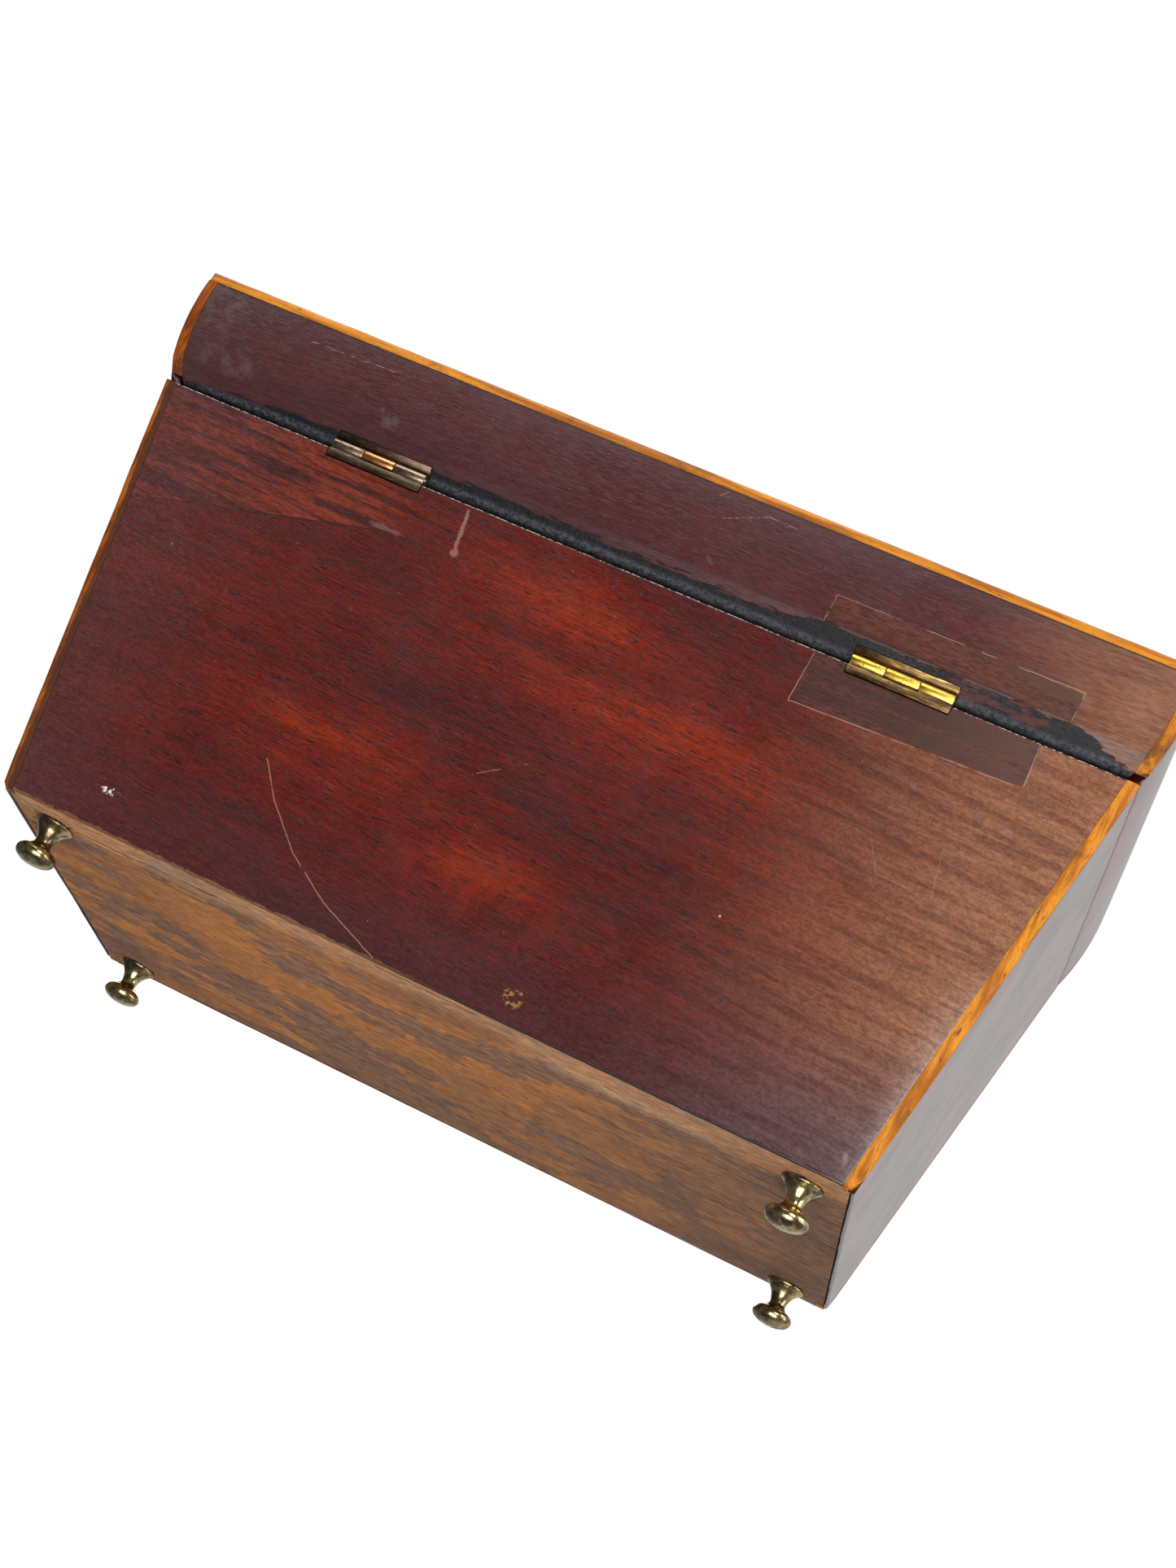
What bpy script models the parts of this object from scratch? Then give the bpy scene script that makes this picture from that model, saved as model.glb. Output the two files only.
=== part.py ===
"""A sarcophagus-shaped tea caddy with a cushion lid, two tea compartments and a glass mixing bowl.

Units are metres, +Z is up, the front faces -Y and the four feet stand on z = 0.
The carcase flares from its base to its rim; the lid swells a little past the rim.
Left and right are as seen from the front, so the left end is at -X.
"""

import math

import bmesh
import bpy
from mathutils import Matrix, Vector

MM = 0.001

# Carcase: half sizes of the outer surface at the underside and at the rim.
FOOT_H = 13 * MM
CARCASE_H = 129 * MM
BASE_HALF_X = 127.2 * MM
BASE_HALF_Y = 68.6 * MM
RIM_HALF_X = 150 * MM
RIM_HALF_Y = 78.4 * MM
RIM_Z = FOOT_H + CARCASE_H

# Layers, from the outside inwards.
GAP = 0.3 * MM
VENEER = 1.0 * MM
STRIP = 3.5 * MM
BOARD = 10 * MM
BOTTOM_T = 6 * MM
SKIN = VENEER + GAP
NOTCH = STRIP + GAP
WALL = SKIN + BOARD

# Lid: its sides swell outwards along a shallow arc.
SEAM = 0.5 * MM
LID_BOTTOM = RIM_Z + SEAM
LID_H = 36.5 * MM
LID_TOP = LID_BOTTOM + LID_H
LID_SWELL = 4.4 * MM
LID_SWELL_AT = 30 * MM
LID_BEVEL = 5.7 * MM
RAIL_TOP = LID_TOP - NOTCH
RAIL_STEPS = 8
MITRE = 0.2 * MM
LINING_T = 1.0 * MM

# Hinges: the pin lies just inside the back face, in the hollow of the lid's bevel.
HINGE_X = {"left": -82 * MM, "right": 79.5 * MM}
HINGE_Y = RIM_HALF_Y - 1.5 * MM
HINGE_Z = RIM_Z + 2.2 * MM
HINGE_L = 30 * MM
KNUCKLE_R = 1.7 * MM
KNUCKLE_GAP = 0.15 * MM
KNUCKLE_CLEAR = 0.25 * MM
PIN_R = 0.65 * MM
PIN_HOLE_R = 0.75 * MM
LEAF_T = 1.4 * MM
LEAF_REACH = 8.0 * MM
SHOULDER_H = 2.5 * MM
SCREW_HEAD_R = 1.5 * MM
SCREW_R = 0.8 * MM
SCREW_L = 6.5 * MM
SCREW_SPACING = 17 * MM
SCREW_BACK = 6.1 * MM
SCREW_CLEAR = 0.2 * MM
SLOT_W = 0.45 * MM
SLOT_DEPTH = 0.45 * MM

# Hinge leaves, from the pin's centre: (y, z) limits, and how far the upper leaf's two sloping
# faces lie below the 45 degree line through the pin.
LOWER_TOP = -2.3 * MM
LOWER_FACE = 1.6 * MM
LOWER_BEND = -2.0 * MM
UPPER_BOTTOM = -1.6 * MM
UPPER_CREST = 3.9 * MM
UPPER_FACE = 2.26 * MM
UPPER_BEND = 4.1 * MM
WEB_HALF_Y = 1.1 * MM
WEB_BOTTOM = -2.6 * MM
WEB_TOP = -1.0 * MM
BED_SPARE = 3

# Feet: turned knobs with a threaded spigot.
FOOT_X = 113.7 * MM
FOOT_BACK_Y = 54 * MM
FOOT_FRONT_Y = 60 * MM
SPIGOT_R = 1.5 * MM
SPIGOT_L = 4.5 * MM
SPIGOT_HOLE_R = 1.8 * MM

# Inside.
PARTITION_T = 6 * MM
PARTITION_X = 58 * MM
COVER_DROP = 12 * MM
COVER_T = 5 * MM
COVER_CLEAR = 0.5 * MM
LEDGE_W = 4 * MM
LEDGE_H = 6 * MM
BOWL_HOLE_R = 42.5 * MM
BOWL_RIM_R = 46.5 * MM
BOWL_BODY_R = 41.5 * MM
BOWL_FOOT_R = 22 * MM
BOWL_H = 80 * MM
BOWL_WALL = 2.6 * MM
BOWL_RIM_T = 3 * MM
BOWL_BULGE = 1.6
BOWL_STEPS = 8
KNOB_SEGMENTS = 20
BOWL_SEGMENTS = 32
SCREW_SEGMENTS = 16

# Lock on the inner face of the front board, a bolt that slides sideways, and its link on the lid.
LOCK_HALF_W = 18 * MM
LOCK_H = 18 * MM
LOCK_OUTER = 6 * MM
LOCK_WALL = 1.0 * MM
BOLT_X = (-14 * MM, -2.5 * MM)
BOLT_DEPTH = 1.2 * MM
BOLT_H = 2.8 * MM
BOLT_DROP = 6.5 * MM
LINK_HALF_W = 12 * MM
LINK_DEPTH = 8 * MM
LINK_T = 1.2 * MM
STAPLE_HALF_X = 1.0 * MM
STAPLE_HALF_Y = 1.6 * MM
STAPLE_DROP = 9.5 * MM
STAPLE_Y = -(RIM_HALF_Y - 8.4 * MM)
EYE_HALF_Y = 1.0 * MM
EYE_HALF_Z = 2.1 * MM
KEYHOLE_DROP = 12 * MM
KEYHOLE_R = 1.6 * MM
KEYHOLE_SLOT_HALF = 0.8 * MM
KEYHOLE_SLOT_L = 4.5 * MM
ESCUTCHEON_HALF_X = 8 * MM
ESCUTCHEON_HALF_Z = 11 * MM
ESCUTCHEON_T = 1.2 * MM

ROUND_SEGMENTS = 24
PARTS = "tea_caddy"
CUTTERS = "cutters"
SIDES = {"left": -1, "right": 1}
DEPTHS = {"front": -1, "back": 1}
AXIS_TURN = {
    "X": Matrix.Rotation(math.pi / 2, 4, "Y"),
    "Y": Matrix.Rotation(math.pi / 2, 4, "X"),
    "Z": Matrix(),
}

MATERIALS = {
    "mahogany_veneer": ((0.115, 0.025, 0.016), 0.32, 0.0),
    "carcase_wood": ((0.30, 0.17, 0.09), 0.75, 0.0),
    "lid_mahogany": ((0.085, 0.024, 0.018), 0.35, 0.0),
    "boxwood": ((0.50, 0.22, 0.045), 0.4, 0.0),
    "bare_wood": ((0.24, 0.125, 0.062), 0.8, 0.0),
    "brass": ((0.47, 0.38, 0.17), 0.35, 1.0),
    "steel": ((0.42, 0.41, 0.40), 0.45, 1.0),
    "glass": ((0.86, 0.93, 0.92), 0.05, 0.0),
    "bone": ((0.80, 0.74, 0.60), 0.4, 0.0),
    "lining_paper": ((0.30, 0.13, 0.10), 0.9, 0.0),
}


# ---------------------------------------------------------------- scene helpers


def clear_scene():
    for item in list(bpy.data.objects):
        bpy.data.objects.remove(item, do_unlink=True)


def new_collection(name):
    collection = bpy.data.collections.new(name)
    bpy.context.scene.collection.children.link(collection)
    return collection


def make_material(name):
    colour, roughness, metallic = MATERIALS[name]
    material = bpy.data.materials.new(name)
    material.use_nodes = True
    shader = material.node_tree.nodes["Principled BSDF"]
    shader.inputs["Base Color"].default_value = (*colour, 1.0)
    shader.inputs["Roughness"].default_value = roughness
    shader.inputs["Metallic"].default_value = metallic
    return material


def place(name, mesh, kind):
    """Link a mesh as a part of its own material, or as a hidden cutter."""
    item = bpy.data.objects.new(name, mesh)
    if kind == CUTTERS:
        bpy.data.collections[CUTTERS].objects.link(item)
        item.hide_render = True
        item.display_type = "WIRE"
        return item
    bpy.data.collections[PARTS].objects.link(item)
    mesh.materials.append(bpy.data.materials[kind])
    return item


def mesh_from(name, bm):
    bmesh.ops.recalc_face_normals(bm, faces=bm.faces)
    mesh = bpy.data.meshes.new(name)
    bm.to_mesh(mesh)
    bm.free()
    return mesh


def box(name, low, high, kind):
    """A box between two corners, made from the cube primitive."""
    bm = bmesh.new()
    bmesh.ops.create_cube(bm, size=1.0)
    low, high = Vector(low), Vector(high)
    bmesh.ops.scale(bm, vec=high - low, verts=bm.verts)
    bmesh.ops.translate(bm, vec=(low + high) / 2, verts=bm.verts)
    return place(name, mesh_from(name, bm), kind)


def cylinder(name, centre, axis, radius, length, kind):
    """A cylinder about a point, along the X, Y or Z axis."""
    bm = bmesh.new()
    bmesh.ops.create_cone(
        bm,
        cap_ends=True,
        segments=ROUND_SEGMENTS,
        radius1=radius,
        radius2=radius,
        depth=length,
        matrix=Matrix.Translation(centre) @ AXIS_TURN[axis],
    )
    return place(name, mesh_from(name, bm), kind)


def extruded(name, section, x_low, x_high, kind):
    """A (y, z) outline extruded along X."""
    bm = bmesh.new()
    face = bm.faces.new([bm.verts.new((x_low, y, z)) for y, z in section])
    swept = bmesh.ops.extrude_face_region(bm, geom=[face])["geom"]
    moved = [element for element in swept if isinstance(element, bmesh.types.BMVert)]
    bmesh.ops.translate(bm, vec=(x_high - x_low, 0, 0), verts=moved)
    return place(name, mesh_from(name, bm), kind)


def lofted(name, outline, heights, kind):
    """A solid through the level outlines that outline(z) gives at each height."""
    bm = bmesh.new()
    rings = [[bm.verts.new((x, y, z)) for x, y in outline(z)] for z in heights]
    bm.faces.new(rings[0])
    bm.faces.new(rings[-1])
    count = len(rings[0])
    for lower, upper in zip(rings, rings[1:]):
        for i in range(count):
            j = (i + 1) % count
            bm.faces.new((lower[i], lower[j], upper[j], upper[i]))
    return place(name, mesh_from(name, bm), kind)


def turned(name, profile, location, kind, segments=ROUND_SEGMENTS):
    """A round solid: a profile of (radius, z) points, running down its outer side, turned about Z."""
    mesh = bpy.data.meshes.new(name)
    points = [(radius, 0, z) for radius, z in profile]
    mesh.from_pydata(points, [(i, i + 1) for i in range(len(points) - 1)], [])
    item = place(name, mesh, kind)
    item.location = location
    screw = item.modifiers.new("turn", "SCREW")
    screw.steps = segments
    screw.render_steps = segments
    screw.use_merge_vertices = True
    screw.merge_threshold = 0.00001
    return item


def boolean(target, cutter, operation="DIFFERENCE"):
    modifier = target.modifiers.new(cutter.name, "BOOLEAN")
    modifier.operation = operation
    modifier.object = cutter
    return target


def empty_at(name, location):
    item = bpy.data.objects.new(name, None)
    item.location = location
    bpy.data.collections[PARTS].objects.link(item)
    return item


def hang_on(parent, children):
    """Parent the pieces to a joint's empty and leave them where they are."""
    back = Matrix.Translation(parent.location).inverted()
    for child in children:
        child.parent = parent
        child.matrix_parent_inverse = back


# ---------------------------------------------------------------- outer form


def outer_half(z):
    """Half width and half depth of the caddy's outer surface at a height."""
    if z <= RIM_Z:
        t = (z - FOOT_H) / CARCASE_H
        return BASE_HALF_X + t * (RIM_HALF_X - BASE_HALF_X), BASE_HALF_Y + t * (RIM_HALF_Y - BASE_HALF_Y)
    u = (z - LID_BOTTOM) / LID_SWELL_AT
    swell = LID_SWELL * (1 - (u - 1) ** 2)
    return RIM_HALF_X + swell, RIM_HALF_Y + swell


def rectangle(x0, x1, y0, y1):
    return [(x0, y0), (x1, y0), (x1, y1), (x0, y1)]


def long_wall_outline(side):
    """Front or back board: the full width under the veneer, rebated for the corner strips."""

    def outline(z):
        hx, hy = outer_half(z)
        right = [
            (hx - SKIN, hy - WALL),
            (hx - SKIN, hy - NOTCH),
            (hx - NOTCH, hy - NOTCH),
            (hx - NOTCH, hy - SKIN),
        ]
        points = right + [(-x, y) for x, y in reversed(right)]
        return [(x, side * y) for x, y in points]

    return outline


def end_wall_outline(side):
    """End board: fitted between the front and back boards."""

    def outline(z):
        hx, hy = outer_half(z)
        reach = hy - WALL - GAP
        return rectangle(side * (hx - WALL), side * (hx - SKIN), -reach, reach)

    return outline


def long_veneer_outline(side):
    def outline(z):
        hx, hy = outer_half(z)
        return rectangle(-(hx - NOTCH), hx - NOTCH, side * (hy - VENEER), side * hy)

    return outline


def end_veneer_outline(side):
    def outline(z):
        hx, hy = outer_half(z)
        return rectangle(side * (hx - VENEER), side * hx, -(hy - NOTCH), hy - NOTCH)

    return outline


def corner_strip_outline(side_x, side_y):
    def outline(z):
        hx, hy = outer_half(z)
        return rectangle(side_x * (hx - STRIP), side_x * hx, side_y * (hy - STRIP), side_y * hy)

    return outline


def bottom_outline(z):
    """The bottom board, with its four corners cut out for the strips."""
    hx, hy = outer_half(z)
    corner = [(hx - SKIN, hy - NOTCH), (hx - NOTCH, hy - NOTCH), (hx - NOTCH, hy - SKIN)]
    across = [(-x, y) for x, y in reversed(corner)]
    upper = corner + across
    return upper + [(-x, -y) for x, y in upper]


def long_rail_outline(side):
    """Front or back rail of the lid, mitred at both ends."""

    def outline(z):
        hx, hy = outer_half(z)
        right = [
            (RIM_HALF_X - WALL - MITRE, RIM_HALF_Y - WALL),
            (hx - NOTCH - MITRE, hy - NOTCH),
            (hx - NOTCH - MITRE, hy),
        ]
        points = right + [(-x, y) for x, y in reversed(right)]
        return [(x, side * y) for x, y in points]

    return outline


def end_rail_outline(side):
    def outline(z):
        hx, hy = outer_half(z)
        upper = [
            (RIM_HALF_X - WALL, RIM_HALF_Y - WALL - MITRE),
            (hx - NOTCH, hy - NOTCH - MITRE),
            (hx, hy - NOTCH - MITRE),
        ]
        points = upper + [(x, -y) for x, y in reversed(upper)]
        return [(side * x, y) for x, y in points]

    return outline


def long_top_strip_outline(side):
    def outline(z):
        hx, hy = outer_half(z)
        return rectangle(-hx, hx, side * (hy - STRIP), side * hy)

    return outline


def end_top_strip_outline(side):
    def outline(z):
        hx, hy = outer_half(z)
        return rectangle(side * (hx - STRIP), side * hx, -(hy - NOTCH), hy - NOTCH)

    return outline


def lid_panel_outline(z):
    hx, hy = outer_half(z)
    return rectangle(-(hx - NOTCH), hx - NOTCH, -(hy - NOTCH), hy - NOTCH)


def rail_heights():
    return [LID_BOTTOM + (RAIL_TOP - LID_BOTTOM) * i / RAIL_STEPS for i in range(RAIL_STEPS + 1)]


# ---------------------------------------------------------------- carcase


def make_walls():
    floor = FOOT_H + BOTTOM_T + GAP
    heights = [floor, RIM_Z]
    walls = {}
    for name, side in DEPTHS.items():
        walls[name] = lofted(f"{name}_board", long_wall_outline(side), heights, "carcase_wood")
    for name, side in SIDES.items():
        lofted(f"{name}_end_board", end_wall_outline(side), heights, "carcase_wood")
    return walls


def make_veneers():
    heights = [FOOT_H, RIM_Z]
    veneers = {}
    for name, side in DEPTHS.items():
        veneers[name] = lofted(f"{name}_veneer", long_veneer_outline(side), heights, "mahogany_veneer")
    for name, side in SIDES.items():
        lofted(f"{name}_end_veneer", end_veneer_outline(side), heights, "mahogany_veneer")
    return veneers


def make_body_strips():
    for depth_name, side_y in DEPTHS.items():
        for side_name, side_x in SIDES.items():
            name = f"body_strip_{depth_name}_{side_name}"
            lofted(name, corner_strip_outline(side_x, side_y), [FOOT_H, RIM_Z], "boxwood")


def foot_profile():
    """Spigot, flared flange, narrow neck, round-edged head and a small flat to stand on."""
    trumpet = [(5.8, 12.7), (5.8, 12.1), (4.5, 11.2), (3.4, 9.9), (2.7, 8.3), (2.5, 6.8), (2.9, 5.5)]
    head = [(4.4, 4.8), (5.6, 4.1), (6.1, 3.1), (5.9, 2.0), (4.9, 1.0), (3.2, 0.3), (1.8, 0.0), (0.0, 0.0)]
    spigot_top = FOOT_H + SPIGOT_L
    spigot = [(0.0, spigot_top), (SPIGOT_R, spigot_top), (SPIGOT_R, FOOT_H - GAP)]
    return spigot + [(radius * MM, z * MM) for radius, z in trumpet + head]


def make_bottom_and_feet():
    bottom = lofted("bottom_board", bottom_outline, [FOOT_H, FOOT_H + BOTTOM_T], "bare_wood")
    for depth_name, y in (("front", -FOOT_FRONT_Y), ("back", FOOT_BACK_Y)):
        for side_name, side in SIDES.items():
            label = f"{depth_name}_{side_name}"
            at = (side * FOOT_X, y, 0)
            turned(f"foot_{label}", foot_profile(), at, "brass")
            hole_centre = (at[0], at[1], FOOT_H)
            hole_l = 2 * (SPIGOT_L + GAP)
            hole = cylinder(f"foot_hole_{label}", hole_centre, "Z", SPIGOT_HOLE_R, hole_l, CUTTERS)
            boolean(bottom, hole)


# ---------------------------------------------------------------- inside

COVER_Z = RIM_Z - COVER_DROP + GAP
COVER_TOP = COVER_Z + COVER_T
MIDDLE_GAP = GAP / 2


def inner_half(z):
    hx, hy = outer_half(z)
    return hx - WALL, hy - WALL


def make_partitions():
    """Each partition's top carries the bowl board on one half and a canister cover on the other."""
    heights = [FOOT_H + BOTTOM_T + GAP, RIM_Z - COVER_DROP]
    for name, side in SIDES.items():

        def outline(z, side=side):
            reach = inner_half(z)[1] - GAP
            near = side * (PARTITION_X - PARTITION_T / 2)
            far = side * (PARTITION_X + PARTITION_T / 2)
            return rectangle(near, far, -reach, reach)

        lofted(f"{name}_partition", outline, heights, "carcase_wood")


def make_ledges():
    heights = [RIM_Z - COVER_DROP - LEDGE_H, RIM_Z - COVER_DROP]
    for name, side in SIDES.items():

        def outline(z, side=side):
            ix, iy = inner_half(z)
            reach = iy - GAP
            return rectangle(side * (ix - GAP - LEDGE_W), side * (ix - GAP), -reach, reach)

        lofted(f"{name}_cover_ledge", outline, heights, "carcase_wood")


def knob_profile():
    """A small turned knob: ball, neck and foot, as (radius, height) in millimetres."""
    ball = [(0.0, 9.0), (1.6, 8.8), (3.4, 7.8), (4.3, 6.2), (3.9, 4.6), (2.6, 3.4)]
    neck_and_foot = [(1.7, 2.6), (1.8, 1.4), (3.2, 0.9), (3.2, 0.0), (0.0, 0.0)]
    return [(radius * MM, z * MM) for radius, z in ball + neck_and_foot]


def make_canister_covers():
    """Lift-out covers, each on an empty that marks its lift."""
    ix, iy = inner_half(COVER_Z)
    for name, side in SIDES.items():
        near = PARTITION_X + MIDDLE_GAP
        far = ix - COVER_CLEAR
        middle = side * (near + far) / 2
        low = (min(side * near, side * far), -(iy - COVER_CLEAR), COVER_Z)
        high = (max(side * near, side * far), iy - COVER_CLEAR, COVER_TOP)
        cover = box(f"{name}_canister_cover", low, high, "lid_mahogany")
        knob_at = (middle, 0, COVER_TOP + GAP)
        knob = turned(f"{name}_cover_knob", knob_profile(), knob_at, "bone", KNOB_SEGMENTS)
        lift = empty_at(f"{name}_cover_lift", (middle, 0, COVER_TOP))
        hang_on(lift, [cover, knob])


def bowl_profile():
    """Glass bowl hanging by its rim: up the inside, over the rim and down the outside."""
    foot = BOWL_RIM_T - BOWL_H
    floor = foot + 2 * BOWL_WALL
    inner = [(0, floor)]
    outer = []
    for i in range(BOWL_STEPS + 1):
        t = i / BOWL_STEPS
        radius = BOWL_FOOT_R + (BOWL_BODY_R - BOWL_FOOT_R) * t ** (1 / BOWL_BULGE)
        inner.append((radius - BOWL_WALL, floor + t * (BOWL_RIM_T - floor)))
        outer.append((radius, foot + t * (-GAP - foot)))
    rim = [(BOWL_RIM_R, BOWL_RIM_T), (BOWL_RIM_R, 0), (BOWL_BODY_R, 0)]
    return inner + rim + outer[::-1] + [(0, foot)]


def make_bowl():
    iy = inner_half(COVER_Z)[1] - COVER_CLEAR
    reach = PARTITION_X - MIDDLE_GAP
    board = box("bowl_board", (-reach, -iy, COVER_Z), (reach, iy, COVER_TOP), "lid_mahogany")
    hole_profile = [(0, COVER_T), (BOWL_HOLE_R, COVER_T), (BOWL_HOLE_R, -2 * COVER_T), (0, -2 * COVER_T)]
    boolean(board, turned("bowl_hole", hole_profile, (0, 0, COVER_TOP), CUTTERS, BOWL_SEGMENTS))
    bowl = turned("mixing_bowl", bowl_profile(), (0, 0, COVER_TOP + GAP), "glass", BOWL_SEGMENTS)
    hang_on(empty_at("bowl_lift", (0, 0, COVER_TOP)), [bowl])


# ---------------------------------------------------------------- lid


def make_lid_wood():
    """Rails, panel, lining and stringing. Returns every piece, and the rails by name."""
    heights = rail_heights()
    rails = {}
    pieces = []
    for name, side in DEPTHS.items():
        rails[name] = lofted(f"lid_{name}_rail", long_rail_outline(side), heights, "lid_mahogany")
    for name, side in SIDES.items():
        rails[name] = lofted(f"lid_{name}_rail", end_rail_outline(side), heights, "lid_mahogany")
    strips = {}
    for depth_name, side_y in DEPTHS.items():
        for side_name, side_x in SIDES.items():
            name = f"lid_strip_{depth_name}_{side_name}"
            outline = corner_strip_outline(side_x, side_y)
            strips[depth_name, side_name] = lofted(name, outline, heights, "boxwood")
    top_heights = [LID_TOP - STRIP, LID_TOP]
    for name, side in DEPTHS.items():
        pieces.append(lofted(f"lid_top_strip_{name}", long_top_strip_outline(side), top_heights, "boxwood"))
    for name, side in SIDES.items():
        pieces.append(lofted(f"lid_top_strip_{name}", end_top_strip_outline(side), top_heights, "boxwood"))
    pieces.append(lofted("lid_top_panel", lid_panel_outline, top_heights, "lid_mahogany"))
    lining_x = RIM_HALF_X - WALL - COVER_CLEAR
    lining_y = RIM_HALF_Y - WALL - COVER_CLEAR
    lining_z = LID_TOP - STRIP - GAP
    low = (-lining_x, -lining_y, lining_z - LINING_T)
    pieces.append(box("lid_lining", low, (lining_x, lining_y, lining_z), "lining_paper"))
    bevel = bevel_cutter()
    bevelled_rails = [rails["back"], rails["left"], rails["right"]]
    bevelled_strips = [strips["back", "left"], strips["back", "right"]]
    for piece in bevelled_rails + bevelled_strips:
        boolean(piece, bevel)
    return pieces + list(rails.values()) + list(strips.values()), rails


def bevel_cutter():
    """The wedge that bevels the lid's lower back edge, so that it can open past the rim."""
    spare = 4 * MM
    inner = RIM_HALF_Y - LID_BEVEL
    section = [
        (inner - spare, LID_BOTTOM - spare),
        (RIM_HALF_Y + LID_BEVEL, LID_BOTTOM - spare),
        (RIM_HALF_Y + LID_BEVEL, LID_BOTTOM + 2 * LID_BEVEL),
    ]
    return extruded("lid_bevel", section, -2 * RIM_HALF_X, 2 * RIM_HALF_X, CUTTERS)


# ---------------------------------------------------------------- hinges


def around_pin(points):
    return [(HINGE_Y + y, HINGE_Z + z) for y, z in points]


def lower_leaf_section(grow=0.0):
    """Shoulder on the back face and plate on the rim. Its bed is grown, and open above."""
    top = LOWER_TOP + BED_SPARE * grow
    plate = LOWER_TOP - LEAF_T - grow
    foot = LOWER_TOP - SHOULDER_H - grow
    reach = -LEAF_REACH - grow
    face = LOWER_FACE + grow
    bend = LOWER_BEND - grow
    shoulder = [(face, top), (face, foot), (bend, foot)]
    return around_pin(shoulder + [(bend, plate), (reach, plate), (reach, top)])


def upper_leaf_section(grow=0.0):
    """Plate under the lid and shoulder along its bevel. Its bed is grown, and open below."""
    bottom = UPPER_BOTTOM - BED_SPARE * grow
    plate = UPPER_BOTTOM + LEAF_T + grow
    crest = UPPER_CREST + grow
    reach = -LEAF_REACH - grow
    face = UPPER_FACE - BED_SPARE * grow
    bend = UPPER_BEND + grow
    outside = [(reach, bottom), (bottom - face, bottom), (crest - face, crest)]
    inside = [(crest - bend, crest), (plate - bend, plate), (reach, plate)]
    return around_pin(outside + inside)


def knuckle_spans(centre_x):
    """The X ranges of the left, middle and right knuckles."""
    third = HINGE_L / 3
    start = centre_x - HINGE_L / 2
    return [(start + i * third, start + (i + 1) * third) for i in range(3)]


def knuckle(name, span, radius, trim):
    low, high = span[0] + trim, span[1] - trim
    centre = ((low + high) / 2, HINGE_Y, HINGE_Z)
    return cylinder(name, centre, "X", radius, high - low, CUTTERS)


def leaf_hole(name, x, y, z, flip):
    """Countersunk hole through a leaf and on into the wood."""
    clear = SCREW_CLEAR
    half = LEAF_T + clear
    profile = [
        (0, clear),
        (SCREW_HEAD_R + clear, clear),
        (SCREW_HEAD_R + clear, 0),
        (SCREW_R + clear, -half),
        (SCREW_R + clear, -SCREW_L - GAP),
        (0, -SCREW_L - GAP),
    ]
    hole = turned(name, profile, (x, y, z), CUTTERS, SCREW_SEGMENTS)
    hole.rotation_euler = (math.pi if flip else 0, 0, 0)
    return hole


def make_screw(name, x, y, z, flip):
    """Countersunk brass screw with a slotted head."""
    profile = [(0, 0), (SCREW_HEAD_R, 0), (SCREW_R, -LEAF_T), (SCREW_R, -SCREW_L), (0, -SCREW_L)]
    screw = turned(name, profile, (x, y, z), "brass", SCREW_SEGMENTS)
    screw.rotation_euler = (math.pi if flip else 0, 0, 0)
    sign = -1 if flip else 1
    deep = z - sign * SLOT_DEPTH
    high = z + sign * SLOT_DEPTH
    low_corner = (x - SLOT_W / 2, y - 2 * SCREW_HEAD_R, min(deep, high))
    high_corner = (x + SLOT_W / 2, y + 2 * SCREW_HEAD_R, max(deep, high))
    return boolean(screw, box(f"{name}_slot", low_corner, high_corner, CUTTERS))


def make_leaf_screws(side, leaf, wood, which, centre_x):
    """Two screws through a leaf; the upper ones point up into the lid."""
    flip = which == "upper"
    y = HINGE_Y - SCREW_BACK
    z = HINGE_Z + (UPPER_BOTTOM if flip else LOWER_TOP)
    screws = []
    for end_name, end in SIDES.items():
        x = centre_x + end * SCREW_SPACING / 2
        name = f"{side}_{which}_screw_{end_name}"
        hole = leaf_hole(f"{name}_hole", x, y, z, flip)
        boolean(leaf, hole)
        boolean(wood, hole)
        screws.append(make_screw(name, x, y, z, flip))
    return screws


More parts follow.
